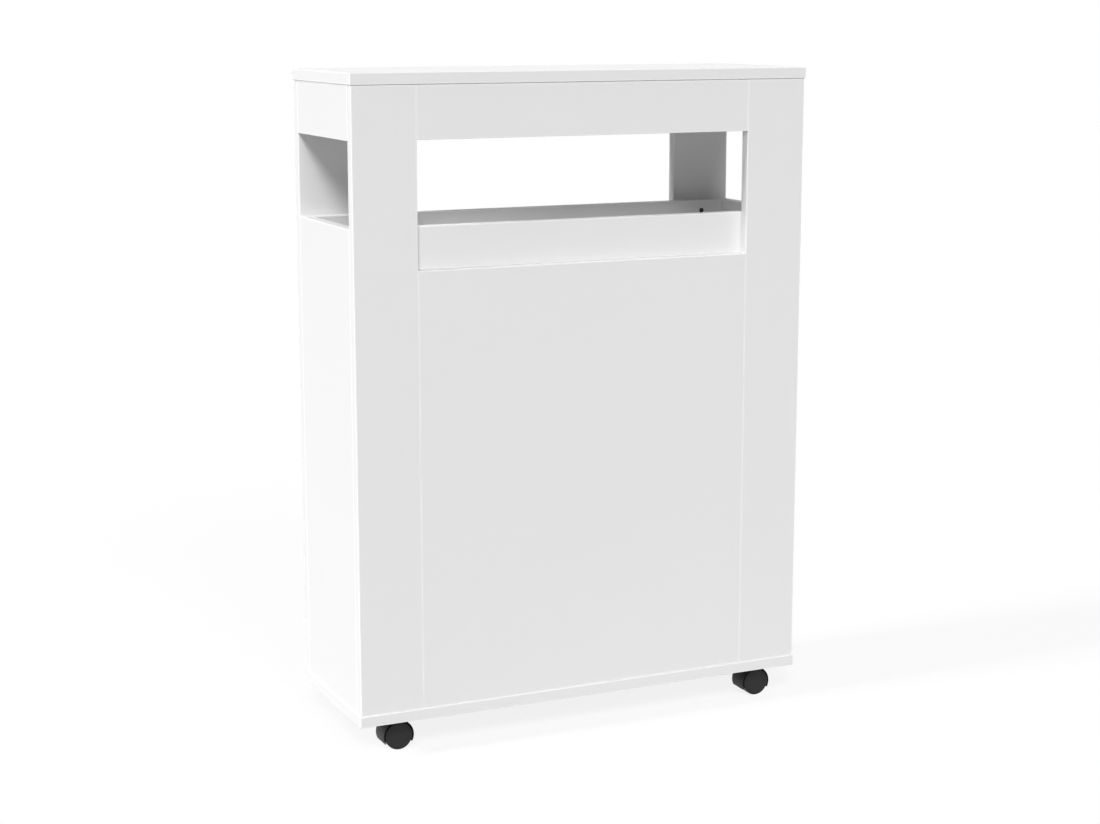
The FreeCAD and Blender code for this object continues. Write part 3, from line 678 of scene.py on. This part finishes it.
def faced(nodes, given, geometry, half):
    """Laminate all over, tape with a painted highlight along the edges and raw core inside the bores."""
    offset = nodes.vector("SUBTRACT", nodes.add("GeometryNodeInputPosition"), given.Centre)
    depth = nodes.vector("SUBTRACT", half, nodes.vector("ABSOLUTE", offset))
    parts = nodes.add("ShaderNodeSeparateXYZ", {0: depth}).socket.node.outputs
    depths = [Socket(nodes, part) for part in parts]
    border = given.Arris + given.Edging
    # Faces near two surfaces at once form the pale band: tape, painted a touch paler as a highlight.
    tape_and_highlight_band = sum(border > part for part in depths) > NEAR_TWO_SIDES
    in_bore = sum(part > given.Arris for part in depths) > DEEP_ALL_ROUND
    geometry = nodes.add("GeometryNodeSetMaterial", {"Geometry": geometry, "Material": given.Laminate})
    for selection, material in ((tape_and_highlight_band, given.Tape), (in_bore, given.Core)):
        inputs = {"Geometry": geometry, "Selection": selection, "Material": material}
        geometry = nodes.add("GeometryNodeSetMaterial", inputs)
    return geometry


def board_shape():
    nodes, given = shape_tree(
        "rounded_board", Size="Vector", Centre="Vector", Arris="Float", Steps="Int", Edging="Float",
        MouthRadius="Float", FootRadius="Float", BoreDepth="Float", Overrun="Float",
        Laminate="Material", Tape="Material", Core="Material",
    )
    half = nodes.scaled(given.Size, 0.5)
    inputs = {0: rounded_block(nodes, given, half), 1: bores(nodes, given)}
    bored = nodes.add("GeometryNodeMeshBoolean", inputs, operation="DIFFERENCE", solver="EXACT")
    whole = nodes.add("GeometryNodeRealizeInstances", {"Geometry": bored})
    flat = nodes.add("GeometryNodeSetShadeSmooth", {"Geometry": whole, "Shade Smooth": False})
    return end_tree(nodes, faced(nodes, given, flat, half))


board_tree = board_shape()
print("Board tree:", len(board_tree.nodes), "nodes")

# %% [markdown]
# ### The boards of the case
# The case is stiles, rails, panels, shelves and strips, all cut from the same board. Each takes its size
# and place from the frame. The points that go into the tree are the places of its fittings, and each
# carries the direction in which the fitting looks.

# %% Make the boards
ARRIS = 0.7 * MM
ARRIS_STEPS = 3
# Width of the pale band beside each arris: tape, painted paler as a highlight.
TAPE_AND_HIGHLIGHT_WIDTH = 0.8 * MM
BORE_OVERRUN = 1.0 * MM
CAM_BORE = SimpleNamespace(mouth=7.7 * MM, foot=7.7 * MM, depth=12.2 * MM)
SCREW_SEAT = SimpleNamespace(mouth=3.65 * MM, foot=1.9 * MM, depth=2.3 * MM)


def aimed_points(name, places):
    """Mesh of loose points, each with the direction that it faces."""
    mesh = bpy.data.meshes.new(name)
    mesh.from_pydata([point for point, axis in places], [], [])
    facing = mesh.attributes.new("axis", "FLOAT_VECTOR", "POINT")
    for number, (point, axis) in enumerate(places):
        facing.data[number].vector = axis
    return mesh


for board in BOARDS:
    low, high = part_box(board)
    places = cams_in[board] + screws_in[board]
    bore = SCREW_SEAT if screws_in[board] else CAM_BORE
    piece = grown(
        board + "_faced", board_tree, aimed_points(board + "_faced", places),
        Size=high - low, Centre=(low + high) / 2, Arris=ARRIS, Steps=ARRIS_STEPS, Edging=TAPE_AND_HIGHLIGHT_WIDTH,
        MouthRadius=bore.mouth, FootRadius=bore.foot, BoreDepth=bore.depth, Overrun=BORE_OVERRUN,
        Laminate=FINISHES["white_laminate"], Tape=edging_and_highlight_finish, Core=core_finish,
    )
    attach(piece, "case")
    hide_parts(board)
    print(piece.name, len(places), "bores,", len(piece.data.polygons), "faces")

# %% [markdown]
# ## Turned and moulded forms
# Discs, screws, wheels and hoods are all round somewhere. They could be curves with a Screw modifier, but
# rings of points joined by faces give full control over every edge. First come the points of an arc and
# the faces between two rings.

# %% Arcs and rings
ROUND_STEPS = 4


def arc(across, up, radius, start, end, steps=ROUND_STEPS):
    """Points on part of a circle, from one angle in degrees to another."""
    turns = [math.radians(start + (end - start) * step / steps) for step in range(steps + 1)]
    return [(across + radius * math.cos(turn), up + radius * math.sin(turn)) for turn in turns]


def bridge(shape, first, second):
    """Faces between two rings of points, either of which may be a single point."""
    count = max(len(first), len(second))
    for number in range(count):
        follower = (number + 1) % count
        corners = [first[number % len(first)], first[follower % len(first)]]
        corners += [second[follower % len(second)], second[number % len(second)]]
        shape.faces.new(dict.fromkeys(corners))


print("Quarter arc:", len(arc(0, 0, 1, 0, 90)), "points")

# %% [markdown]
# ### On the lathe and through sections
# A turned form is a profile of radius and height that goes round an axis. A lofted form runs through
# sections that have as many points each. Both end as a closed mesh with its faces looking outwards.

# %% Turn and loft
def mesh_piece(name, shape):
    """Close a mesh under construction into an object, with its faces looking outwards."""
    bmesh.ops.recalc_face_normals(shape, faces=shape.faces)
    mesh = bpy.data.meshes.new(name)
    shape.to_mesh(mesh)
    shape.free()
    return linked(name, mesh)


def turned(name, profile, steps):
    """Turn a profile of radius and height round the Z axis."""
    shape = bmesh.new()
    rings = []
    for radius, height in profile:
        turns = [2 * math.pi * step / steps for step in range(steps if radius else 1)]
        rings.append([shape.verts.new((radius * math.cos(a), radius * math.sin(a), height)) for a in turns])
    for first, second in zip(rings, rings[1:]):
        bridge(shape, first, second)
    return mesh_piece(name, shape)


def lofted(name, sections):
    """Closed form through sections with as many points each."""
    shape = bmesh.new()
    rings = [[shape.verts.new(point) for point in section] for section in sections]
    for first, second in zip(rings, rings[1:]):
        bridge(shape, first, second)
    shape.faces.new(rings[0])
    shape.faces.new(rings[-1])
    return mesh_piece(name, shape)


print("Turning and lofting ready")

# %% [markdown]
# ### Cuts and smooth shading
# Drive recesses and wheel wells are cut out with a Boolean, which keeps the walls clean. It can leave
# points that lie almost on one another, and these are merged. Round faces then share their shading, and
# edges that turn by more than a limit stay crisp.

# %% Cut and smooth
SLIVER = 0.002 * MM
SHARP_ANGLE = 35.0


def combined(piece, tool, operation):
    """Cut a tool out of a piece, or join it on; the tool is used up."""
    modifier = piece.modifiers.new(operation, "BOOLEAN")
    modifier.operation = operation
    modifier.solver = "EXACT"
    modifier.object = tool
    baked(piece)
    bpy.data.objects.remove(tool)
    shape = bmesh.new()
    shape.from_mesh(piece.data)
    bmesh.ops.dissolve_degenerate(shape, dist=SLIVER, edges=shape.edges)
    shape.to_mesh(piece.data)
    shape.free()
    return piece


def smoothed(piece):
    piece.data.shade_smooth()
    piece.data.set_sharp_from_angle(angle=math.radians(SHARP_ANGLE))
    return piece


print("Edges stay crisp from", SHARP_ANGLE, "degrees")

# %% [markdown]
# ## Cam discs and screws
# A cam disc has a cross recess for the driver and a small arrow that shows which way it pulls. Both are
# sunk into a cast face with a raised rim. One disc is made at the origin, looking up, as the pattern for
# all of them.

# %% Pattern of a cam disc
DISC_SIDES = 48
DISC = SimpleNamespace(
    radius=7.5 * MM, depth=12.0 * MM, rounding=0.5 * MM, sunk=0.1 * MM, rim=1.3 * MM, step=0.2 * MM
)


def cross_plug(name, span, width, depth, taper, top):
    """Plug for a cross recess: four wings that narrow downwards."""
    quarter = [(width / 2, span / 2), (-width / 2, span / 2), (-width / 2, width / 2)]
    outline = []
    for step in range(4):
        turn = Matrix.Rotation(math.pi / 2 * step, 2)
        outline += [turn @ Vector(point) for point in quarter]
    upper = [(point.x, point.y, top) for point in outline]
    lower = [(point.x * taper, point.y * taper, top - depth) for point in outline]
    return lofted(name, [lower, upper])


def arrow_plug(name, reach, length, half_width, depth, top):
    """Plug for the small arrow that shows which way a cam disc pulls."""
    tip = [(reach + length, 0), (reach, half_width), (reach, -half_width)]
    return lofted(name, [[(x, y, level) for x, y in tip] for level in (top - depth, top)])


def cam_pattern():
    edge = DISC.radius - DISC.rounding
    rim_inside = DISC.radius - DISC.rim
    floor = -DISC.sunk - DISC.step
    profile = [(0, -DISC.depth), (edge, -DISC.depth), (DISC.radius, DISC.rounding - DISC.depth)]
    profile += arc(edge, -DISC.sunk - DISC.rounding, DISC.rounding, 0, 90)
    profile += [(rim_inside, -DISC.sunk), (rim_inside - DISC.step, floor), (0, floor)]
    disc = turned("cam_pattern", profile, DISC_SIDES)
    recess = cross_plug(
        "recess", span=7.6 * MM, width=1.7 * MM, depth=3.2 * MM, taper=0.62, top=0.6 * MM
    )
    disc = combined(disc, recess, "DIFFERENCE")
    arrow = arrow_plug(
        "arrow", reach=4.2 * MM, length=1.5 * MM, half_width=0.9 * MM, depth=1.0 * MM, top=0.3 * MM
    )
    return smoothed(combined(disc, arrow, "DIFFERENCE"))


cam_disc = cam_pattern()
print("Cam disc:", len(cam_disc.data.polygons), "faces")

# %% [markdown]
# ### Screws
# Both kinds of screw have a cross recess and a threaded shank that ends in a point. A true helix would
# hide in the wood, so the thread is a row of ridges, which turns on the lathe with the rest. Strip screws
# have a flat countersunk head, and the screws of the caster plates a low dome.

# %% Patterns of the screws
SCREW_SIDES = 32
SHANK = 1.75 * MM
HEAD = 3.45 * MM
PITCH = 1.6 * MM
RIDGE = 0.45 * MM
DOME = 7.6 * MM


def thread(start, end):
    """Profile of a threaded shank as a row of ridges, ending in a point."""
    count = int((start - end) / PITCH) - 1
    profile = []
    for step in range(count):
        level = start - PITCH * step
        profile += [(SHANK - RIDGE, level), (SHANK, level - PITCH / 2)]
    return profile + [(0, end)]


def screw_pattern(name, head_profile, start, end):
    screw = turned(name, head_profile + thread(start, end), SCREW_SIDES)
    recess = cross_plug(
        "recess", span=4.0 * MM, width=0.95 * MM, depth=2.0 * MM, taper=0.45, top=0.5 * MM
    )
    return smoothed(combined(screw, recess, "DIFFERENCE"))


flat_head = [(0, -0.05 * MM), (3.2 * MM, -0.05 * MM), (HEAD, -0.2 * MM), (SHANK, -2.2 * MM)]
flat_screw = screw_pattern("countersunk_pattern", flat_head, start=-2.6 * MM, end=-25 * MM)
domed_head = [(0, 0)] + arc(0, -DOME, DOME, 90, 67, steps=5)[1:]
domed_head += [(HEAD, -1.3 * MM), (HEAD, -1.8 * MM), (SHANK, -1.8 * MM)]
domed_screw = screw_pattern("pan_head_pattern", domed_head, start=-2.2 * MM, end=-14.8 * MM)
print("Screws:", len(flat_screw.data.polygons), "and", len(domed_screw.data.polygons), "faces")

# %% [markdown]
# ### Setting the fittings
# A second tree sets a pattern on every point found above, along the point's direction. Placing copies by
# hand would do for a few, but there are dozens. Tightened discs and screws stop at any angle, so each
# copy gets its own turn, from a fixed seed that gives the same turns every time.

# %% Shape tree that sets a pattern on points
# Places of the number sockets on a Random Value node
LEAST = 2
MOST = 3
NUMBER_OUT = 1


def fitting_shape():
    nodes, given = shape_tree("set_fittings", Pattern="Object", Turn="Float", Seed="Int", Finish="Material")
    pattern = nodes.add("GeometryNodeObjectInfo", {"Object": given.Pattern}, "Geometry")
    axis = nodes.add("GeometryNodeInputNamedAttribute", {"Name": "axis"}, data_type="FLOAT_VECTOR")
    aimed = nodes.add("FunctionNodeAlignRotationToVector", {"Vector": axis}, axis="Z")
    inputs = {LEAST: 0.0, MOST: given.Turn, "Seed": given.Seed}
    spin = nodes.add("FunctionNodeRandomValue", inputs, NUMBER_OUT, data_type="FLOAT")
    about = nodes.add("FunctionNodeAxisAngleToRotation", {"Axis": (0, 0, 1), "Angle": spin})
    inputs = {"Rotation": aimed, "Rotate By": about}
    turn = nodes.add("FunctionNodeRotateRotation", inputs, rotation_space="LOCAL")
    inputs = {"Points": given.Geometry, "Instance": pattern, "Rotation": turn}
    copies = nodes.add("GeometryNodeInstanceOnPoints", inputs)
    whole = nodes.add("GeometryNodeRealizeInstances", {"Geometry": copies})
    inputs = {"Geometry": whole, "Material": given.Finish}
    return end_tree(nodes, nodes.add("GeometryNodeSetMaterial", inputs))


fitting_tree = fitting_shape()
print("Fitting tree:", len(fitting_tree.nodes), "nodes")

# %% [markdown]
# ### The fittings of the case
# All discs are one piece, and so are the screws of each kind, as in the frame. The patterns have done
# their work then and are removed.

# %% Set the fittings
FITTING_SEED = 7

cam_places = [place for board in BOARDS for place in cams_in[board]]
for node, pattern, places in (
    ("cam_discs", cam_disc, cam_places),
    ("strip_screws", flat_screw, strip_screws),
    ("caster_screws", domed_screw, caster_screws),
):
    piece = grown(
        node + "_cut", fitting_tree, aimed_points(node, places),
        Pattern=pattern, Turn=2 * math.pi, Seed=FITTING_SEED, Finish=FINISHES[slot_of[node]],
    )
    bpy.data.objects.remove(pattern)
    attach(piece, "case")
    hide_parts(node)
    print(piece.name, len(places), "copies,", len(piece.data.polygons), "faces")

# %% [markdown]
# ## Casters
# Each caster has a hood that swivels under the case and two wheels that turn inside it. The four could be
# copies of one, but each rides on bodies of its own, so they are one set of functions called four times.
# The frame gives the axle, the swivel pin and the outer sizes.

# %% Measure a caster
CORNERS = ("front_left", "front_right", "rear_left", "rear_right")


def measured(corner):
    hood_low, hood_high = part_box(corner + "_caster_hood")
    pin_low, pin_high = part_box(corner + "_caster_pin")
    front_low, front_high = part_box(corner + "_caster_front_wheel")
    rear_low, rear_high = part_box(corner + "_caster_rear_wheel")
    axle = (front_low + rear_high) / 2
    return SimpleNamespace(
        axle=axle,
        swivel=(pin_low + pin_high) / 2,
        wheel_radius=(front_high.z - front_low.z) / 2,
        wheel_inner=(rear_low.y - front_high.y) / 2,
        wheel_outer=(rear_high.y - front_low.y) / 2,
        fender=hood_high.x - axle.x,
        foot=hood_low.z,
        half_width=(hood_high.y - hood_low.y) / 2,
        boss_top=hood_high.z,
    )


casters = {corner: measured(corner) for corner in CORNERS}
for corner, caster in casters.items():
    sizes = [round(size / MM, 1) for size in (2 * caster.wheel_radius, caster.fender)]
    print(corner, "wheel diameter and fender radius:", sizes)

# %% [markdown]
# ### Wheels
# A wheel is a cup with its closed face outwards: a rim that rolls, a thin face and a hub on the axle. The
# face is gently crowned, with a fine groove inside the rim and the small dimple of the mould gate. All of
# it is round, so one profile on the lathe makes the whole wheel.

# %% Profile of a wheel
FACE_WALL = 2.4 * MM
RIM_WALL = 3.2 * MM
RIM_ROUNDING = 0.5 * MM
HUB_RADIUS = 5.5 * MM
AXLE_RADIUS = 2.55 * MM
SHOULDER = 1.3 * MM
SHOULDER_END = 84
CROWN = 0.5 * MM
GROOVE = ((0.45 * MM, 0.0), (0.25 * MM, 0.22 * MM), (-0.25 * MM, 0.22 * MM), (-0.45 * MM, 0.0))
FACE_RINGS = (9 * MM, 5 * MM)
DIMPLE = SimpleNamespace(radius=1.3 * MM, slope=0.25 * MM, depth=0.3 * MM)


def wheel_profile(caster):
    radius = caster.wheel_radius
    inner = caster.wheel_inner
    outer = caster.wheel_outer
    inside_face = outer - FACE_WALL
    edge = outer - CROWN
    rim_inside = radius - RIM_WALL
    profile = [(0, inside_face), (AXLE_RADIUS, inside_face), (AXLE_RADIUS, inner), (HUB_RADIUS, inner)]
    profile += [(HUB_RADIUS, inside_face), (rim_inside, inside_face), (rim_inside, inner)]
    profile += arc(radius - RIM_ROUNDING, inner + RIM_ROUNDING, RIM_ROUNDING, -90, 0, steps=3)
    profile += arc(radius - SHOULDER, edge - SHOULDER, SHOULDER, 0, SHOULDER_END, steps=6)
    crown = CROWN / radius
    rings = [(rim_inside + place, sink) for place, sink in GROOVE]
    rings += [(across, 0.0) for across in FACE_RINGS + (DIMPLE.radius,)]
    profile += [(across, edge + crown * (radius - across) - sink) for across, sink in rings]
    floor = outer - DIMPLE.depth
    return profile + [(DIMPLE.radius - DIMPLE.slope, floor), (0, floor)]


print("Wheel profile:", len(wheel_profile(casters["front_left"])), "points")

# %% [markdown]
# ### Eight wheels
# The profile is turned about an upright axis, then laid over so that its face looks out of the caster, to
# the front or to the rear. The turn goes into the mesh, so that the object itself stays at the origin.

# %% Turn the wheels
WHEEL_SIDES = 96


def wheel(corner, side, caster):
    piece = turned("%s_%s_wheel_turned" % (corner, side), wheel_profile(caster), WHEEL_SIDES)
    outward = math.radians(90 if side == "front" else -90)
    piece.data.transform(Matrix.Translation(caster.axle) @ Matrix.Rotation(outward, 4, "X"))
    piece.data.materials.append(FINISHES["black_tread"])
    return smoothed(piece)


for corner, caster in casters.items():
    for side in ("front", "rear"):
        piece = wheel(corner, side, caster)
        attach(piece, "%s_%s_wheel" % (corner, side))
        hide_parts("%s_caster_%s_wheel" % (corner, side))
        print(piece.name, len(piece.data.polygons), "faces")

# %% [markdown]
# ### Hoods
# From the side the hood is a round fender that ends level above the floor. Sections of that outline, drawn
# in a little near both ends, give it a rounded rim. A Bevel modifier would round the rims of the wells as
# well, which are flared instead.

# %% Fender of a hood
HOOD_RIM = 0.6 * MM
FENDER_STEPS = 64


def hood_outline(caster, inset):
    """Side view of the hood, drawn in from its edge."""
    radius = caster.fender - inset
    start = math.degrees(math.asin((caster.foot - caster.axle.z) / radius))
    return arc(caster.axle.x, caster.axle.z, radius, start, 180 - start, FENDER_STEPS)


def fender(name, caster):
    rim = arc(caster.half_width - HOOD_RIM, HOOD_RIM, HOOD_RIM, 0, -90)
    stations = rim + [(-across, inset) for across, inset in reversed(rim)]
    sections = []
    for across, inset in stations:
        sections.append([(x, caster.axle.y + across, z) for x, z in hood_outline(caster, inset)])
    return lofted(name, sections)


print("Fender outline:", len(hood_outline(casters["front_left"], 0)), "points")

# %% [markdown]
# ### Wells and boss
# Wells for the wheels are cut out with flared plugs, which leave a thin wall with a dark gap inside. The
# boss that takes the swivel pin stands on the swivel axis, behind the axle. Plugs, boss and bore are all
# turned forms, because the real mould has turned cores there.

# %% Plugs and boss of a hood
WELL_GAP = 1.5 * MM
WELL_FLARE = 0.6 * MM
WEB = 11.0 * MM
BOSS_RADIUS = 9.5 * MM
BOSS_EDGE = 0.8 * MM
BOSS_SIDES = 64
PIN_BORE = 3.3 * MM
PIN_BORE_DEPTH = 20.0 * MM
PIN_BORE_SIDES = 32


def well_plug(caster, side):
    """Flared plug that cuts the well of one wheel."""
    radius = caster.wheel_radius + WELL_GAP
    mouth = caster.half_width
    over = mouth + BORE_OVERRUN
    profile = [(0, WEB / 2), (radius, WEB / 2)]
    profile += arc(radius + WELL_FLARE, mouth - WELL_FLARE, WELL_FLARE, 180, 90)
    profile += [(radius + WELL_FLARE, over), (0, over)]
    plug = turned("well", profile, WHEEL_SIDES)
    plug.data.transform(Matrix.Translation(caster.axle) @ Matrix.Rotation(math.radians(90 * side), 4, "X"))
    return plug


def upright(name, caster, profile, steps):
    """Turned form on the swivel axis of a caster."""
    piece = turned(name, profile, steps)
    piece.data.transform(Matrix.Translation((caster.swivel.x, caster.swivel.y, 0)))
    return piece


def pin_boss(caster):
    top = caster.boss_top
    profile = [(0, caster.axle.z), (BOSS_RADIUS, caster.axle.z)]
    profile += arc(BOSS_RADIUS - BOSS_EDGE, top - BOSS_EDGE, BOSS_EDGE, 0, 90) + [(0, top)]
    return upright("boss", caster, profile, BOSS_SIDES)


def pin_bore(caster):
    foot = caster.boss_top - PIN_BORE_DEPTH
    over = caster.boss_top + BORE_OVERRUN
    profile = [(0, foot), (PIN_BORE, foot), (PIN_BORE, over), (0, over)]
    return upright("pin_bore", caster, profile, PIN_BORE_SIDES)


print("Wells leave a gap of", round(WELL_GAP / MM, 1), "mm round the wheels")

# %% [markdown]
# ### Four hoods
# The boss is joined on first, so that the wells also trim it. Then come the two wells, and last the bore
# for the pin, which must stay open.

# %% Mould the hoods
def hood(corner, caster):
    piece = fender(corner + "_hood_moulded", caster)
    combined(piece, pin_boss(caster), "UNION")
    for side in (-1, 1):
        combined(piece, well_plug(caster, side), "DIFFERENCE")
    combined(piece, pin_bore(caster), "DIFFERENCE")
    piece.data.materials.clear()
    piece.data.materials.append(FINISHES["black_plastic"])
    return smoothed(piece)


for corner, caster in casters.items():
    piece = hood(corner, caster)
    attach(piece, corner + "_swivel")
    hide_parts(corner + "_caster_hood")
    print(piece.name, len(piece.data.polygons), "faces")

# %% [markdown]
# ## Pieces kept from the frame
# Plates, pins, washers, axles, bolts and dowels already have their true form, so they stay as they are and
# only get their finish.

# %% Finish the kept pieces
kept = [node for node, piece in frame["nodes"].items() if not piece.hide_render]
for node in kept:
    frame["nodes"][node].data.materials.clear()
    frame["nodes"][node].data.materials.append(FINISHES[slot_of[node]])
print("Kept as they are:", len(kept))

# %% [markdown]
# ## Floor and world
# The cabinet stands on a plain white ground. More light would whiten the ground, but the boards with it.
# So the camera sees floor and world as white through the Light Path node, and so do gloss and glass, while
# the light that they throw on the cabinet is set apart. The floor is part glow and part matt paint, which
# keeps the shadow of the cabinet.

# %% Floor
FLOOR_HALF = 12.0
FLOOR_GLOW = 0.84
FLOOR_SEEN = grey(0.95)
FLOOR_LIGHTING = grey(0.45)
WHITE = grey(1.0)


def seen_directly(nodes):
    """One for rays that show the ground itself: from the camera, or by way of gloss or glass."""
    path = nodes.add("ShaderNodeLightPath").socket.node.outputs
    kinds = ("Is Camera Ray", "Is Glossy Ray", "Is Transmission Ray")
    camera_ray, glossy_ray, glass_ray = [Socket(nodes, path[kind]) for kind in kinds]
    return camera_ray | glossy_ray | glass_ray


def white_floor():
    finish = Finish("white_floor", Roughness=0.85)
    seen = seen_directly(finish)
    finish.set("Base Color", finish.mix(seen, FLOOR_LIGHTING, FLOOR_SEEN))
    matt = Socket(finish, finish.tree.nodes["Principled BSDF"].outputs[0])
    glow = finish.add("ShaderNodeEmission", {"Color": WHITE, "Strength": 1.0})
    mixed = finish.add("ShaderNodeMixShader", {0: FLOOR_GLOW * seen, 1: matt, 2: glow})
    finish.put(finish.tree.nodes["Material Output"].inputs["Surface"], mixed)
    return finish.done()


floor_mesh = bpy.data.meshes.new("floor")
signs = [(-1, -1), (1, -1), (1, 1), (-1, 1)]
floor_corners = [(x * FLOOR_HALF, y * FLOOR_HALF, cad_low.z) for x, y in signs]
floor_mesh.from_pydata(floor_corners, [], [(0, 1, 2, 3)])
floor_mesh.materials.append(white_floor())
linked("floor", floor_mesh)
print("Floor", 2 * FLOOR_HALF, "m wide")

# %% [markdown]
# ### World
# The world is white where it is seen and nearly dark as a light, because the lamps do the lighting. A
# bright world would fill the shaded inside of the case.

# %% World
WORLD_LEVEL = 0.03

world = bpy.data.worlds.new("white_ground")
bpy.context.scene.world = world
world.use_nodes = True
sky = Nodes(world.node_tree)
background = world.node_tree.nodes["Background"].inputs
sky.put(background["Color"], WHITE)
sky.put(background["Strength"], WORLD_LEVEL + (1 - WORLD_LEVEL) * seen_directly(sky))
print("World level", WORLD_LEVEL)

# %% [markdown]
# ### Lamps
# Three soft lamps shape the sides in view: one from the front, a key lamp from the front left, and one
# from the left that makes the left end the lightest side. Two weak, low ones from behind and from the
# right keep the other sides readable. They stay out of the gloss, because at a grazing view their
# reflection would whiten the top. Area lamps would fade along the cabinet, so all five are suns. Each
# has its turn from the front towards the left, its height above the horizon, its level and its softness.

# %% Lamps
LAMPS = {
    "front": (0.0, 34.0, 0.25, 20.0),
    "key": (26.0, 37.0, 0.62, 16.0),
    "side": (90.0, 29.0, 0.765, 9.0),
    "back": (200.0, 10.0, 0.36, 50.0),
    "right": (258.0, 5.0, 0.32, 40.0),
}
GLOSS_LAMPS = ("front", "key", "side")

for name, (turn, height, level, softness) in LAMPS.items():
    light = bpy.data.lights.new(name, "SUN")
    light.energy = level * math.pi
    light.angle = math.radians(softness)
    lamp = linked(name, light)
    lamp.rotation_euler = (math.radians(90 - height), 0, math.radians(-turn))
    lamp.visible_glossy = name in GLOSS_LAMPS
bpy.context.scene.view_settings.view_transform = "Standard"
print("Lamps:", ", ".join(LAMPS))

# %% [markdown]
# ## Camera
# The view is from the front left, a little above the top board. A level camera with its picture shifted
# down would keep upright edges upright, but the shift would stay in every other view and cut the cabinet
# off. So the camera is tilted down just enough to hold the casters in the picture.

# %% Camera
CAMERA_PLACE = Vector((-1.213, -2.619, 0.978))
CAMERA_YAW = 24.80
CAMERA_PITCH = 10.83
CAMERA_LENS = 68.96
SENSOR_WIDTH = 36.0

lens = bpy.data.cameras.new("camera")
lens.lens = CAMERA_LENS
lens.sensor_width = SENSOR_WIDTH
camera = linked("camera", lens)
camera.location = CAMERA_PLACE
camera.rotation_euler = (math.radians(90 - CAMERA_PITCH), 0, math.radians(-CAMERA_YAW))
bpy.context.scene.camera = camera
print("Camera", round(CAMERA_PLACE.length, 2), "m from the origin, lens", CAMERA_LENS)

# %% [markdown]
# ## Close
